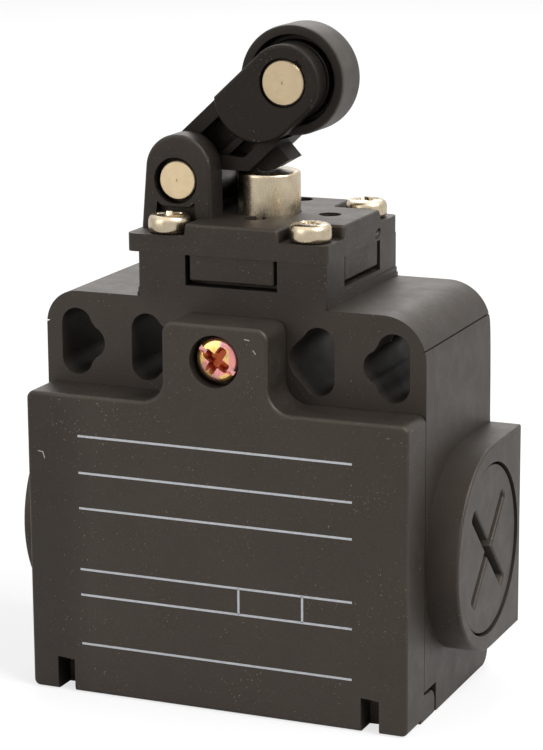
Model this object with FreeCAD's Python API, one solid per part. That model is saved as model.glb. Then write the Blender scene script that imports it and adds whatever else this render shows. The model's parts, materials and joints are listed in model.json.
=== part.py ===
import FreeCAD, Part
import math
import os

V = FreeCAD.Vector
X, Y, Z = V(1, 0, 0), V(0, 1, 0), V(0, 0, 1)
SIDES = (-1, 1)
SIDE_NAMES = {-1: "left", 1: "right"}
CORNERS = [(i, j) for i in SIDES for j in SIDES]

# Housing: +X to the right, -Y to the front, origin under the plunger's axis
HOUSING_W = 52.3
HOUSING_D = 25.0
WALL = 2.2
CAVITY_H = 36.0
FIXING_ZONE_H = 13.9
SHOULDER_R = 6.0
NECK_W = 25.8
NECK_H = 5.75
HOUSING_EDGE_R = 0.35
BACK_EDGE_R = 2.0
SIDE_STEP = 0.15
SIDE_STEP_Z = 48.0

# Fixing slots through the shoulders, each with a side bulge
SLOT_EDGE = 4.31
SLOT_PITCH = 10.0
SLOT_W = 4.3
SLOT_L = 8.8
SLOT_BULGE = 1.85
SLOT_BELOW_SHOULDER = 6.65

# Conduit bosses and their blanking plugs
BOSS_STAND_OUT = 4.35
BOSS_R = 13.55
BOSS_Z = 19.75
BOSS_EDGE_R = 0.3
PLUG_FLANGE_R = 11.0
PLUG_FLANGE_T = 2.1
PLUG_SINK = 0.25
PLUG_GAP = 0.3
PLUG_THREAD_R = 9.95
THREAD_GAP = 0.05
PLUG_SEAL_T = 0.8
PLUG_CROSS_L = 17.6
PLUG_CROSS_W = 2.1
PLUG_CROSS_DEPTH = 1.5
PLUG_CROSS_TURN = 40.0

# Front cover
COVER_D = 6.23
SEAM = 0.15
COVER_WALL = 2.0
COVER_BOTTOM_BAR = 5.6
COVER_SHOULDER_DROP = 12.15
COVER_EDGE_R = 0.9
COVER_CORNER_R = 1.8
TAB_W = 15.2
TAB_H = 10.55
TAB_FILLET_R = 3.0
COVER_SCREW_DROP = 4.9
COVER_RECESS_R = 3.4
COVER_SCREW_HEAD_R = 3.0
COVER_SCREW_SINK = 0.6
NOTCH_X = 20.0
NOTCH_W = 2.45
NOTCH_H = 4.4
NOTCH_DEPTH = 3.4
LUG_L = 3.95
LUG_H = 3.4
LUG_T = 1.3
LUG_R = 1.8
LUG_GAP = 0.45
GASKET_W = 1.0
GASKET_T = 1.4
GASKET_INSET = 0.15

# Head
HEAD_OVERHANG = 1.55
PLATE_T = 2.3
PLATFORM_T = 1.65
POCKET_W = 6.45
POCKET_D = 6.05
HEAD_SCREW_INSET = 3.2
HEAD_SCREW_INSET_Y = 2.8
HEAD_EDGE_R = 0.4
WINDOW_W = 12.6
WINDOW_H = 3.95
WINDOW_DEPTH = 2.2
TONGUE_GAP = 0.5
EAR_GAP = 0.2
EAR_T = 3.7
EAR_W = 9.6
EAR_TOP_R = 4.55
EAR_TOP_LIFT = 1.4
EAR_TOP_SHIFT = 0.3
EAR_LEAN = 0.3
RELIEF_W = 6.0
RELIEF_DEPTH = 1.5
PIN_RING_R = 3.1
PIN_RING_DEPTH = 2.5
DIMPLE_R = 1.45
DIMPLE_DEPTH = 0.6

# Lever
PIVOT_X = -9.6
PIVOT_ABOVE_PLATFORM = 4.6
PIN_R = 2.5
PIN_FIT = 0.01
RUNNING_GAP = 0.06
BUSH_R = 3.9
BUSH_L = 5.7
LEVER_L = 19.0
LEVER_ANGLE = 42.5
LEVER_SWING = 25.0
ARM_HALF_W = 4.85
ARM_D = 8.2
HUB_R = 4.2
RAIL_W = 1.9
WEB_T = 2.6
RIB_W = 0.9
CHEEK_T = 2.7
CHEEK_GAP = 0.3
CHEEK_BACK = 10.0
NOSE_D = 4.2
NOSE_FROM = 6.9
NOSE_TO = 11.55
NOSE_DROP = 2.25
NOSE_R = 2.0
NOSE_X = 0.3
NOSE_GAP = 0.12

# Roller and axle
ROLLER_R = 7.05
ROLLER_W = 6.0
ROLLER_RIM = 1.3
ROLLER_HUB_R = 4.95
ROLLER_HUB_SINK = 0.35
ROLLER_RECESS = 1.7
ROLLER_EDGE_R = 0.25
ROLLER_SWEEP_GAP = 0.45
AXLE_R = 2.85
AXLE_RING = 0.3
AXLE_RING_DEPTH = 0.8
AXLE_SINK = 0.15
KEY_TURN = 77.0

# Plunger, its seal and return spring
PLUNGER_R = 4.1
PLUNGER_STICK_OUT = 5.4
PLUNGER_EDGE_R = 0.5
FLANGE_R = 6.1
FLANGE_T = 1.4
FLANGE_GAP = 0.1
STEM_R = 2.5
SEAL_W = 1.9
SEAL_T = 1.6
WELL_R = 6.7
WELL_FLOOR_T = 4.8
RETURN_WIRE_R = 0.45
RETURN_COIL_R = 4.5
RETURN_TURNS = 5
HEAD_GASKET_W = 1.3
HEAD_GASKET_T = 0.5

# Contact block
BLOCK_W = 34.0
BLOCK_H = 35.2
BLOCK_FRONT_WALL = 1.8
BLOCK_FRONT_T = 1.5
CHANNEL_W = 6.4
CHANNEL_FLOOR_T = 2.0
CARRIER_GAP = 0.2
CARRIER_SPRING_L = 8.0
BRIDGE_L = 17.0
BRIDGE_W = 4.0
BRIDGE_T = 0.8
BRIDGE_GAP = 0.1
NO_BRIDGE_UP = 1.8
NC_BRIDGE_UP = 17.0
CONTACT_SPRING_L = 4.6
RIVET_R = 1.4
RIVET_H = 0.8
RIVET_X = 7.2
CONTACT_GAP = 0.12
STRIP_T = 1.0
STRIP_REST = 0.1
PAD_W = 6.6
PAD_H = 6.6
PAD_X = 13.0
CLAMP_T = 1.0
SMALL_COIL_R = 1.5
SMALL_WIRE_R = 0.25
SMALL_TURNS = 3
COIL_STEPS = 18
WIRE_SIDES = 8

# Screws: shank radius, head radius, head height, length under the head
HEAD_SCREW = (1.5, 2.7, 2.4, 8.0)
COVER_SCREW = (1.5, COVER_SCREW_HEAD_R, 1.9, 6.4)
TERMINAL_SCREW = (1.75, 3.1, 2.1, 7.0)
BLOCK_SCREW = (1.25, 2.3, 1.6, 6.0)
BLOCK_SCREW_X = 6.6
DRIVER_SLOT_W = 0.9
DRIVER_SLOT_DEPTH = 1.1
TAP_GAP = 0.05

# Heights and depths that follow from the sizes above
CAVITY_TOP = WALL + CAVITY_H
SHOULDER_Z = CAVITY_TOP + FIXING_ZONE_H
NECK_TOP = SHOULDER_Z + NECK_H
SEAT_Z = NECK_TOP + PLATE_T
PLATFORM_Z = SEAT_Z + PLATFORM_T
PIVOT_Z = PLATFORM_Z + PIVOT_ABOVE_PLATFORM
PLUNGER_TOP = PLATFORM_Z + PLUNGER_STICK_OUT
FRONT = -HOUSING_D / 2
BACK = HOUSING_D / 2
SIDE = HOUSING_W / 2
CAVITY_SIDE = SIDE - WALL
CAVITY_BACK = BACK - WALL
BOSS_FACE = SIDE + BOSS_STAND_OUT
COVER_BACK = FRONT - SEAM
COVER_FRONT = COVER_BACK - COVER_D
COVER_SHOULDER_Z = SHOULDER_Z - COVER_SHOULDER_DROP
TAB_TOP = COVER_SHOULDER_Z + TAB_H
COVER_SCREW_Z = TAB_TOP - COVER_SCREW_DROP
SLOT_Z = SHOULDER_Z - SLOT_BELOW_SHOULDER
HEAD_RIGHT = NECK_W / 2 - 0.1
HEAD_LEFT = -NECK_W / 2 - HEAD_OVERHANG
HEAD_SCREW_X = NECK_W / 2 - HEAD_SCREW_INSET
HEAD_SCREW_Y = BACK - HEAD_SCREW_INSET_Y
POCKET_X = NECK_W / 2 - POCKET_W
POCKET_Y = BACK - POCKET_D
SLOT_X = (SIDE - SLOT_EDGE - SLOT_PITCH, SIDE - SLOT_EDGE)
EAR_IN = ARM_D / 2 + EAR_GAP
EAR_OUT = EAR_IN + EAR_T
WELL_FLOOR = CAVITY_TOP + WELL_FLOOR_T
FLANGE_TOP = NECK_TOP - FLANGE_GAP
BLOCK_Z0 = WALL
BLOCK_Z1 = WALL + BLOCK_H
BLOCK_FRONT = -CHANNEL_W / 2 - BLOCK_FRONT_WALL
CHANNEL_FLOOR = BLOCK_Z0 + CHANNEL_FLOOR_T
CARRIER_Z0 = CHANNEL_FLOOR + CARRIER_SPRING_L
CARRIER_D = CHANNEL_W - 2 * CARRIER_GAP
SWING = math.radians(LEVER_SWING)
TURN = math.radians(LEVER_ANGLE)
NOSE_UP = NOSE_R + NOSE_GAP + PLUNGER_TOP - PIVOT_Z
STROKE = NOSE_UP * (1 - math.cos(SWING)) + (NOSE_X - PIVOT_X) * math.sin(SWING)


# Building blocks

def box(x0, x1, y0, y1, z0, z1):
    return Part.makeBox(x1 - x0, y1 - y0, z1 - z0, V(x0, y0, z0))


def rod(radius, start, end):
    return Part.makeCylinder(radius, (end - start).Length, start, end - start)


def ring(outer, inner, start, end):
    return rod(outer, start, end).cut(rod(inner, start, end))


def flat_face(points):
    return Part.Face(Part.makePolygon(points + points[:1]))


def prism(points, along):
    return flat_face(points).extrude(along)


def fuse(shapes):
    return shapes[0].multiFuse(shapes[1:]).removeSplitter()


def cut(shape, tools):
    return shape.cut(Part.makeCompound(tools))


def edges_where(shape, test):
    return [e for e in shape.Edges if test(e)]


def runs_along(edge, axis):
    if not isinstance(edge.Curve, Part.Line):
        return False
    return abs(abs(edge.Curve.Direction.dot(axis)) - 1) < 1e-6


def at(value, target):
    return abs(value - target) < 1e-4


def flat_in(edge, name, value):
    low, high = getattr(edge.BoundBox, name + "Min"), getattr(edge.BoundBox, name + "Max")
    return at(low, value) and at(high, value)


def coil(coil_r, wire_r, turns, bottom, top):
    """Wire of flat facets: open turns between one closed turn at each end."""
    closed = 2 * wire_r * 1.1
    heights = [0, closed, top - bottom - 2 * wire_r - closed, top - bottom - 2 * wire_r]
    starts = [0, 1, 1 + turns, 2 + turns]
    rings = []
    for i in range((turns + 2) * COIL_STEPS + 1):
        turn = i / COIL_STEPS
        k = min(sum(turn >= s for s in starts), 3)
        share = (turn - starts[k - 1]) / (starts[k] - starts[k - 1])
        rise = heights[k - 1] + share * (heights[k] - heights[k - 1])
        out = V(math.cos(2 * math.pi * turn), math.sin(2 * math.pi * turn), 0)
        centre = out * coil_r + Z * (bottom + wire_r + rise)
        angles = [2 * math.pi * j / WIRE_SIDES for j in range(WIRE_SIDES)]
        rings.append([centre + out * (wire_r * math.cos(a)) + Z * (wire_r * math.sin(a)) for a in angles])
    return faceted_tube(rings)


def faceted_tube(rings):
    """Closed solid of triangles between a row of rings."""
    faces = [flat_face(rings[0]), flat_face(rings[-1])]
    for near, far in zip(rings, rings[1:]):
        for j in range(len(near)):
            k = (j + 1) % len(near)
            faces += [flat_face([near[j], near[k], far[k]]), flat_face([near[j], far[k], far[j]])]
    shell = Part.makeShell(faces)
    shell.sewShape()
    solid = Part.makeSolid(shell)
    if solid.Volume < 0:
        solid.reverse()
    return solid


def pan_screw(size, seat, out):
    shank_r, head_r, head_h, length = size
    top = seat + out * head_h
    head = rod(head_r, seat, top)
    head = head.makeFillet(head_h * 0.4, edges_where(head, lambda e: (e.CenterOfMass - top).Length < 1e-4))
    cross = X if abs(out.x) < 0.5 else Y
    other = out.cross(cross)
    slot = prism([top + cross * (i * head_r) + other * (j * DRIVER_SLOT_W / 2)
                  for i, j in ((-1, -1), (1, -1), (1, 1), (-1, 1))], out * -DRIVER_SLOT_DEPTH)
    return fuse([head, rod(shank_r, seat - out * length, seat)]).cut(slot)


def screw_hole(size, seat, out):
    return rod(size[0] + TAP_GAP, seat - out * (size[3] + 0.4), seat)


def save(name, shape):
    shape.exportStep("parts/" + name + ".step")


# Housing

def shoulder_outline():
    side, top, r = SIDE, SHOULDER_Z, SHOULDER_R
    k = r * (1 - math.sqrt(0.5))
    right = [Part.LineSegment(V(0, 0, 0), V(side, 0, 0)), Part.LineSegment(V(side, 0, 0), V(side, 0, top - r)),
             Part.Arc(V(side, 0, top - r), V(side - k, 0, top - k), V(side - r, 0, top)),
             Part.LineSegment(V(side - r, 0, top), V(0, 0, top))]
    left = [Part.LineSegment(V(0, 0, top), V(r - side, 0, top)),
            Part.Arc(V(r - side, 0, top), V(k - side, 0, top - k), V(-side, 0, top - r)),
            Part.LineSegment(V(-side, 0, top - r), V(-side, 0, 0)), Part.LineSegment(V(-side, 0, 0), V(0, 0, 0))]
    return Part.Wire([c.toShape() for c in right + left])


def boss(side):
    """D-shaped boss: round to the front, straight flanks to the back face."""
    centre_y = FRONT + BOSS_R
    root, face = side * (SIDE - WALL / 2), side * BOSS_FACE
    low, high = V(root, centre_y, BOSS_Z - BOSS_R), V(root, centre_y, BOSS_Z + BOSS_R)
    back_low, back_high = V(root, BACK, low.z), V(root, BACK, high.z)
    curves = [Part.Arc(low, V(root, FRONT, BOSS_Z), high), Part.LineSegment(high, back_high),
              Part.LineSegment(back_high, back_low), Part.LineSegment(back_low, low)]
    wire = Part.Wire([c.toShape() for c in curves])
    solid = Part.Face(wire).extrude(V(face - root, 0, 0))
    rim = edges_where(solid, lambda e: flat_in(e, "X", face))
    return solid.makeFillet(BOSS_EDGE_R, rim)


def fixing_slot(x):
    """Through slot with rounded ends and a round bulge towards the middle."""
    y0, y1, r = FRONT - 1, BACK + 1, SLOT_W / 2
    straight = SLOT_L / 2 - r
    bulge = x - math.copysign(SLOT_BULGE, x)
    ends = [rod(r, V(x, y0, SLOT_Z + k * straight), V(x, y1, SLOT_Z + k * straight)) for k in SIDES]
    middle = box(x - r, x + r, y0, y1, SLOT_Z - straight, SLOT_Z + straight)
    side = box(min(x, bulge), max(x, bulge), y0, y1, SLOT_Z - r, SLOT_Z + r)
    return fuse(ends + [middle, side, rod(r, V(bulge, y0, SLOT_Z), V(bulge, y1, SLOT_Z))])


def plug_hole(side):
    step = side * (BOSS_FACE - PLUG_SINK - PLUG_FLANGE_T - PLUG_SEAL_T)
    mouth, inside = side * (BOSS_FACE + 1), side * (CAVITY_SIDE - 1)
    return [rod(PLUG_FLANGE_R + PLUG_GAP, V(step, 0, BOSS_Z), V(mouth, 0, BOSS_Z)),
            rod(PLUG_THREAD_R + THREAD_GAP, V(inside, 0, BOSS_Z), V(step, 0, BOSS_Z))]


def lug_seat(side):
    """Notch low in the side wall, where the cover's lug sits."""
    x0, x1 = sorted((side * (SIDE - LUG_T - 0.1), side * (SIDE + 1)))
    return box(x0, x1, FRONT - 1, FRONT + LUG_L + LUG_GAP, -1, LUG_H + LUG_GAP)


def side_steps():
    """Thin slices off the sides of the fixing zone, which leave the lower walls proud."""
    return [box(min(k * (SIDE - SIDE_STEP), k * (SIDE + 1)), max(k * (SIDE - SIDE_STEP), k * (SIDE + 1)),
                FRONT - 1, BACK + 1, SIDE_STEP_Z, SHOULDER_Z + 1) for k in SIDES]


def neck_windows():
    w, e, z0, z1 = WINDOW_W / 2, NECK_W / 2, NECK_TOP - WINDOW_H, NECK_TOP + 1
    cuts = [box(-w, w, FRONT - 1, FRONT + WINDOW_DEPTH, z0, z1), box(-w, w, BACK - WINDOW_DEPTH, BACK + 1, z0, z1)]
    return cuts + [box(-e - 1, -e + WINDOW_DEPTH, -w, w, z0, z1), box(e - WINDOW_DEPTH, e + 1, -w, w, z0, z1)]


def head_screw_seats():
    return [V(i * HEAD_SCREW_X, j * HEAD_SCREW_Y, SEAT_Z) for i, j in CORNERS]


def cover_screw_seat():
    return V(0, COVER_FRONT + COVER_SCREW_SINK + COVER_SCREW[2], COVER_SCREW_Z)


def housing():
    neck = box(-NECK_W / 2, NECK_W / 2, FRONT, BACK, SHOULDER_Z - 1, NECK_TOP)
    case = Part.Face(shoulder_outline()).extrude(V(0, HOUSING_D, 0))
    case.translate(V(0, FRONT, 0))
    back_foot = edges_where(case, lambda e: runs_along(e, X) and at(e.CenterOfMass.z, 0) and at(e.CenterOfMass.y, BACK))
    case = case.makeFillet(BACK_EDGE_R, back_foot)
    back_rim = edges_where(case, lambda e: flat_in(e, "Y", BACK) and e.BoundBox.ZMin > BACK_EDGE_R + 1)
    case = case.makeFillet(HOUSING_EDGE_R, back_rim)
    body = fuse([case, neck, boss(-1), boss(1)])
    body = cut(body, [box(-CAVITY_SIDE, CAVITY_SIDE, FRONT - 1, CAVITY_BACK, WALL, CAVITY_TOP)])
    body = cut(body, [fixing_slot(k * x) for k in SIDES for x in SLOT_X])
    body = cut(body, plug_hole(-1) + plug_hole(1) + [lug_seat(-1), lug_seat(1)])
    body = cut(body, neck_windows() + side_steps())
    well = [rod(WELL_R, V(0, 0, WELL_FLOOR), V(0, 0, NECK_TOP + 1)),
            rod(STEM_R + RUNNING_GAP, V(0, 0, CAVITY_TOP - 1), V(0, 0, WELL_FLOOR)),
            rod(WELL_R + HEAD_GASKET_W, V(0, 0, NECK_TOP - HEAD_GASKET_T), V(0, 0, NECK_TOP + 1))]
    holes = [screw_hole(HEAD_SCREW, s, Z) for s in head_screw_seats()]
    holes.append(screw_hole(COVER_SCREW, cover_screw_seat(), -Y))
    return cut(body, well + holes)


# Front cover and its gasket

def cover_outline():
    """T-shaped front outline, before its corners are rounded."""
    w, tab, top, high = SIDE, TAB_W / 2, COVER_SHOULDER_Z, TAB_TOP
    return [V(-w, 0, 0), V(w, 0, 0), V(w, 0, top), V(tab, 0, top), V(tab, 0, high), V(-tab, 0, high),
            V(-tab, 0, top), V(-w, 0, top)]


def cover_plate():
    plate = prism(cover_outline(), V(0, COVER_D, 0))
    plate.translate(V(0, COVER_FRONT, 0))
    inner = edges_where(plate, lambda e: runs_along(e, Y) and at(e.CenterOfMass.z, COVER_SHOULDER_Z)
                        and abs(e.CenterOfMass.x) < SIDE - 1)
    plate = plate.makeFillet(TAB_FILLET_R, inner)
    corners = edges_where(plate, lambda e: runs_along(e, Y) and (
        (abs(e.CenterOfMass.x) > SIDE - 0.01 and e.CenterOfMass.z < 1) or at(e.CenterOfMass.z, TAB_TOP)))
    plate = plate.makeFillet(COVER_CORNER_R, corners)
    tops = edges_where(plate, lambda e: runs_along(e, Y) and at(e.CenterOfMass.z, COVER_SHOULDER_Z)
                       and abs(e.CenterOfMass.x) > SIDE - 0.01)
    plate = plate.makeFillet(COVER_EDGE_R * 1.2, tops)
    return plate.makeFillet(COVER_EDGE_R, edges_where(plate, lambda e: flat_in(e, "Y", COVER_FRONT)))


def hinge_lug(side):
    """Lug that reaches back along the case's side, rounded at its upper back corner."""
    x = side * (SIDE - LUG_T)
    end, top, r = FRONT + LUG_L, LUG_H, LUG_R
    k = r * (1 - math.sqrt(0.5))
    start = COVER_BACK - 1
    curves = [Part.LineSegment(V(x, start, 0), V(x, end, 0)), Part.LineSegment(V(x, end, 0), V(x, end, top - r)),
              Part.Arc(V(x, end, top - r), V(x, end - k, top - k), V(x, end - r, top)),
              Part.LineSegment(V(x, end - r, top), V(x, start, top)), Part.LineSegment(V(x, start, top), V(x, start, 0))]
    return Part.Face(Part.Wire([c.toShape() for c in curves])).extrude(V(side * LUG_T, 0, 0))


def gasket_frame(depth):
    g = GASKET_INSET
    x1, z0, z1, w = CAVITY_SIDE + g, WALL - g, CAVITY_TOP + g, GASKET_W
    outer = box(-x1 - w, x1 + w, FRONT - depth, FRONT, z0 - w, z1 + w)
    return outer.cut(box(-x1, x1, FRONT - depth - 1, FRONT + 1, z0, z1))


def front_cover():
    shell = fuse([cover_plate(), hinge_lug(-1), hinge_lug(1)])
    inner = CAVITY_SIDE - COVER_WALL / 2
    hollow = box(-inner, inner, COVER_FRONT + COVER_WALL, COVER_BACK + 1, COVER_BOTTOM_BAR, CAVITY_TOP - COVER_WALL / 2)
    seat = cover_screw_seat()
    recess = rod(COVER_RECESS_R, seat, V(0, COVER_FRONT - 1, COVER_SCREW_Z))
    notches = [box(min(k * NOTCH_X, k * (NOTCH_X + NOTCH_W)), max(k * NOTCH_X, k * (NOTCH_X + NOTCH_W)),
                   COVER_FRONT - 1, COVER_FRONT + NOTCH_DEPTH, -1, NOTCH_H) for k in SIDES]
    passage = rod(COVER_SCREW[0] + 0.2, seat - Y, V(0, FRONT + 1, COVER_SCREW_Z))
    return cut(shell, [hollow, recess, passage, gasket_frame(GASKET_T)] + notches)


# Blanking plugs

def crossed_slot(face_x, side):
    """Crossed driver slot with sloping ends and flanks."""
    bars = []
    for turn in (PLUG_CROSS_TURN, PLUG_CROSS_TURN + 90):
        rings = []
        for depth, length, width in ((0, PLUG_CROSS_L, PLUG_CROSS_W),
                                     (PLUG_CROSS_DEPTH, PLUG_CROSS_L * 0.8, PLUG_CROSS_W * 0.55)):
            x = face_x - side * depth
            pts = [V(x, i * length / 2, j * width / 2) for i, j in ((-1, -1), (1, -1), (1, 1), (-1, 1))]
            rings.append(Part.makePolygon(pts + pts[:1]))
        bar = Part.makeLoft(rings, True, True)
        bar.rotate(V(0, 0, 0), X, turn)
        bars.append(bar)
    slot = fuse(bars)
    slot.translate(V(0, 0, BOSS_Z))
    return slot


def conduit_plug(side):
    face = BOSS_FACE - PLUG_SINK
    back, end = face - PLUG_FLANGE_T, CAVITY_SIDE + 0.3
    points = [V(end, 0, 0), V(end, 0, PLUG_THREAD_R - 0.5), V(end + 0.5, 0, PLUG_THREAD_R), V(back, 0, PLUG_THREAD_R),
              V(back, 0, PLUG_FLANGE_R), V(face - 0.2, 0, PLUG_FLANGE_R), V(face, 0, PLUG_FLANGE_R - 0.2), V(face, 0, 0)]
    points = [V(side * p.x, p.y, p.z) for p in points]
    body = flat_face(points).revolve(V(0, 0, 0), X, 360)
    body.translate(V(0, 0, BOSS_Z))
    hollow = rod(PLUG_THREAD_R - WALL, V(side * (end - 1), 0, BOSS_Z), V(side * back, 0, BOSS_Z))
    return body.cut(hollow).cut(crossed_slot(side * face, side))


def plug_seal(side):
    top = side * (BOSS_FACE - PLUG_SINK - PLUG_FLANGE_T)
    return ring(PLUG_FLANGE_R, PLUG_THREAD_R + THREAD_GAP, V(top - side * PLUG_SEAL_T, 0, BOSS_Z), V(top, 0, BOSS_Z))


# Head plate with its ears and tongues

def tongues():
    """Four tongues that drop into the neck's windows."""
    w, e, z0 = WINDOW_W / 2 - TONGUE_GAP, NECK_W / 2, NECK_TOP - WINDOW_H + 0.65
    t, g = WINDOW_DEPTH - 0.3, 0.15
    y_pair = [box(-w, w, FRONT + g, FRONT + g + t, z0, SEAT_Z), box(-w, w, BACK - g - t, BACK - g, z0, SEAT_Z)]
    x_pair = [box(-e + g, -e + g + t, -w, w, z0, SEAT_Z), box(e - g - t, e - g, -w, w, z0, SEAT_Z)]
    return y_pair + x_pair


def ear(front):
    """Upright ear with a half-round top, a relief for the screw head and a ring round the pin."""
    y0, y1 = front * EAR_IN, front * EAR_OUT
    top_x, top_z = PIVOT_X + EAR_TOP_SHIFT, PIVOT_Z + EAR_TOP_LIFT
    left, right = HEAD_LEFT - EAR_LEAN, HEAD_LEFT + EAR_W
    curves = [Part.LineSegment(V(left, y0, NECK_TOP), V(right, y0, NECK_TOP)),
              Part.LineSegment(V(right, y0, NECK_TOP), V(top_x + EAR_TOP_R, y0, top_z)),
              Part.Arc(V(top_x + EAR_TOP_R, y0, top_z), V(top_x, y0, top_z + EAR_TOP_R), V(top_x - EAR_TOP_R, y0, top_z)),
              Part.LineSegment(V(top_x - EAR_TOP_R, y0, top_z), V(left, y0, NECK_TOP))]
    blade = Part.Face(Part.Wire([c.toShape() for c in curves])).extrude(V(0, y1 - y0, 0))
    blade = blade.makeFillet(HEAD_EDGE_R, edges_where(
        blade, lambda e: flat_in(e, "Y", y1) and e.BoundBox.ZMax > PLATFORM_Z))
    floor = y1 - front * RELIEF_DEPTH
    half = RELIEF_W / 2
    relief = box(PIVOT_X - half, PIVOT_X + half, min(floor, y1 + front), max(floor, y1 + front), SEAT_Z, PIVOT_Z)
    pin_ring = rod(PIN_RING_R, V(PIVOT_X, y1 - front * PIN_RING_DEPTH, PIVOT_Z), V(PIVOT_X, y1 + front, PIVOT_Z))
    return cut(blade, [relief, pin_ring])


def dimples():
    spots = ((0.4, -5.5), (8.2, 0.6), (0.4, 10.2))
    return [rod(DIMPLE_R, V(x, y, PLATFORM_Z - DIMPLE_DEPTH), V(x, y, PLATFORM_Z + 1)) for x, y in spots]


def head_plate():
    plate = box(HEAD_LEFT, HEAD_RIGHT, FRONT, BACK, NECK_TOP, PLATFORM_Z)
    pockets = [box(*sorted((i * POCKET_X, i * NECK_W)), *sorted((j * POCKET_Y, j * HOUSING_D)), SEAT_Z, PLATFORM_Z + 1)
               for i, j in CORNERS]
    plate = cut(plate, pockets)
    plate = plate.makeFillet(HEAD_EDGE_R, edges_where(plate, lambda e: runs_along(e, Z)))
    head = fuse([plate, ear(-1), ear(1)] + tongues())
    bore = rod(PLUNGER_R + RUNNING_GAP, V(0, 0, NECK_TOP - 1), V(0, 0, PLATFORM_Z + 1))
    seal_seat = rod(PLUNGER_R + SEAL_W, V(0, 0, NECK_TOP - 1), V(0, 0, NECK_TOP + SEAL_T))
    pin_hole = rod(PIN_R + PIN_FIT, V(PIVOT_X, -EAR_OUT - 1, PIVOT_Z), V(PIVOT_X, EAR_OUT + 1, PIVOT_Z))
    screws = [rod(HEAD_SCREW[0] + 0.2, s - Z * (PLATE_T + 1), s) for s in head_screw_seats()]
    heads = [rod(HEAD_SCREW[1] + 0.1, s, s + Z * (HEAD_SCREW[2] + 0.6)) for s in head_screw_seats()]
    return cut(head, [bore, seal_seat, pin_hole] + screws + heads + dimples())


def pivot_pin():
    end = EAR_OUT - RELIEF_DEPTH
    return rod(PIN_R, V(PIVOT_X, -end, PIVOT_Z), V(PIVOT_X, end, PIVOT_Z))


# Lever arm, drawn along its own line from the pivot to the roller axle

def along(u, v, y=0.0):
    return V(PIVOT_X + u * math.cos(TURN) - v * math.sin(TURN), y, PIVOT_Z + u * math.sin(TURN) + v * math.cos(TURN))


def axle_point(y=0.0):
    return along(LEVER_L, 0, y)


def lowest_arm_z():
    return PLUNGER_TOP + 0.35


def arm_body():
    """Straight arm with a round hub, cut off level under its foot and hollowed to clear the roller."""
    half, d = ARM_HALF_W, ARM_D / 2
    strip = prism([along(0, -half, -d), along(LEVER_L, -half, -d), along(LEVER_L, half, -d), along(0, half, -d)],
                  V(0, ARM_D, 0))
    foot_cut = box(PIVOT_X, PIVOT_X + LEVER_L, -d - 1, d + 1, PLATFORM_Z - 5, lowest_arm_z())
    clear = rod(ROLLER_R + ROLLER_SWEEP_GAP, axle_point(-d - 1), axle_point(d + 1))
    hub = rod(HUB_R, V(PIVOT_X, -d, PIVOT_Z), V(PIVOT_X, d, PIVOT_Z))
    return fuse([cut(strip, [foot_cut, clear]), hub])


def side_pocket(side):
    """Pocket that leaves rails along both edges of the arm and a rib between them."""
    y0, y1 = side * WEB_T / 2, side * (ARM_D / 2 + 1)
    top, low, floor_z = ARM_HALF_W - RAIL_W, -ARM_HALF_W + RAIL_W * 0.85, lowest_arm_z() + RAIL_W * 0.9
    corner = (floor_z - PIVOT_Z - low * math.cos(TURN)) / math.sin(TURN)
    start = (floor_z - PIVOT_Z) / math.sin(TURN)
    outline = [along(HUB_R + 0.4, top, y0), along(CHEEK_BACK, top, y0), along(CHEEK_BACK + 0.4, low, y0),
               along(max(corner, HUB_R), low, y0), along(max(start, HUB_R + 0.4), 0, y0)]
    pocket = prism(outline, V(0, y1 - y0, 0))
    rib = prism([along(0, -0.5 - RIB_W, y0), along(LEVER_L, -0.5 - RIB_W, y0), along(LEVER_L, -0.5, y0),
                 along(0, -0.5, y0)], V(0, side * ARM_D * 0.22, 0))
    return pocket.cut(rib)


def fork_cheek(side):
    """Outer cheek of the fork: a round end at the axle, and a rounded root on the arm."""
    y0, y1 = side * (ROLLER_W / 2 + CHEEK_GAP), side * (ROLLER_W / 2 + CHEEK_GAP + CHEEK_T)
    half, end = ARM_HALF_W, LEVER_L
    root_r = half * 1.06
    low_u = CHEEK_BACK + root_r * 0.9
    bottom = along(low_u, -half, y0)
    curves = [Part.Arc(along(end, -half, y0), along(end + half, 0, y0), along(end, half, y0)),
              Part.LineSegment(along(end, half, y0), along(CHEEK_BACK + 0.5, half, y0)),
              Part.Arc(along(CHEEK_BACK + 0.5, half, y0), along(CHEEK_BACK - 0.2, -half * 0.35, y0), bottom),
              Part.LineSegment(bottom, along(end, -half, y0))]
    cheek = Part.Face(Part.Wire([c.toShape() for c in curves])).extrude(V(0, y1 - y0, 0))
    cheek = cheek.makeFillet(HEAD_EDGE_R * 0.6, edges_where(cheek, lambda e: flat_in(e, "Y", y1)))
    ring_floor = y1 - side * AXLE_RING_DEPTH
    counterbore = rod(AXLE_R + AXLE_RING, axle_point(ring_floor), axle_point(y1 + side))
    key = prism([along(end, AXLE_R - 0.4, ring_floor), along(end + 1.2, AXLE_R - 0.4, ring_floor),
                 along(end + 1.2, AXLE_R + 0.65, ring_floor), along(end, AXLE_R + 0.65, ring_floor)],
                V(0, side * (AXLE_RING_DEPTH + 1), 0))
    key.rotate(axle_point(), Y, KEY_TURN)
    hole = rod(AXLE_R + PIN_FIT, axle_point(y0 - side), axle_point(y1 + side))
    return cut(cheek, [counterbore, key, hole])


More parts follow.
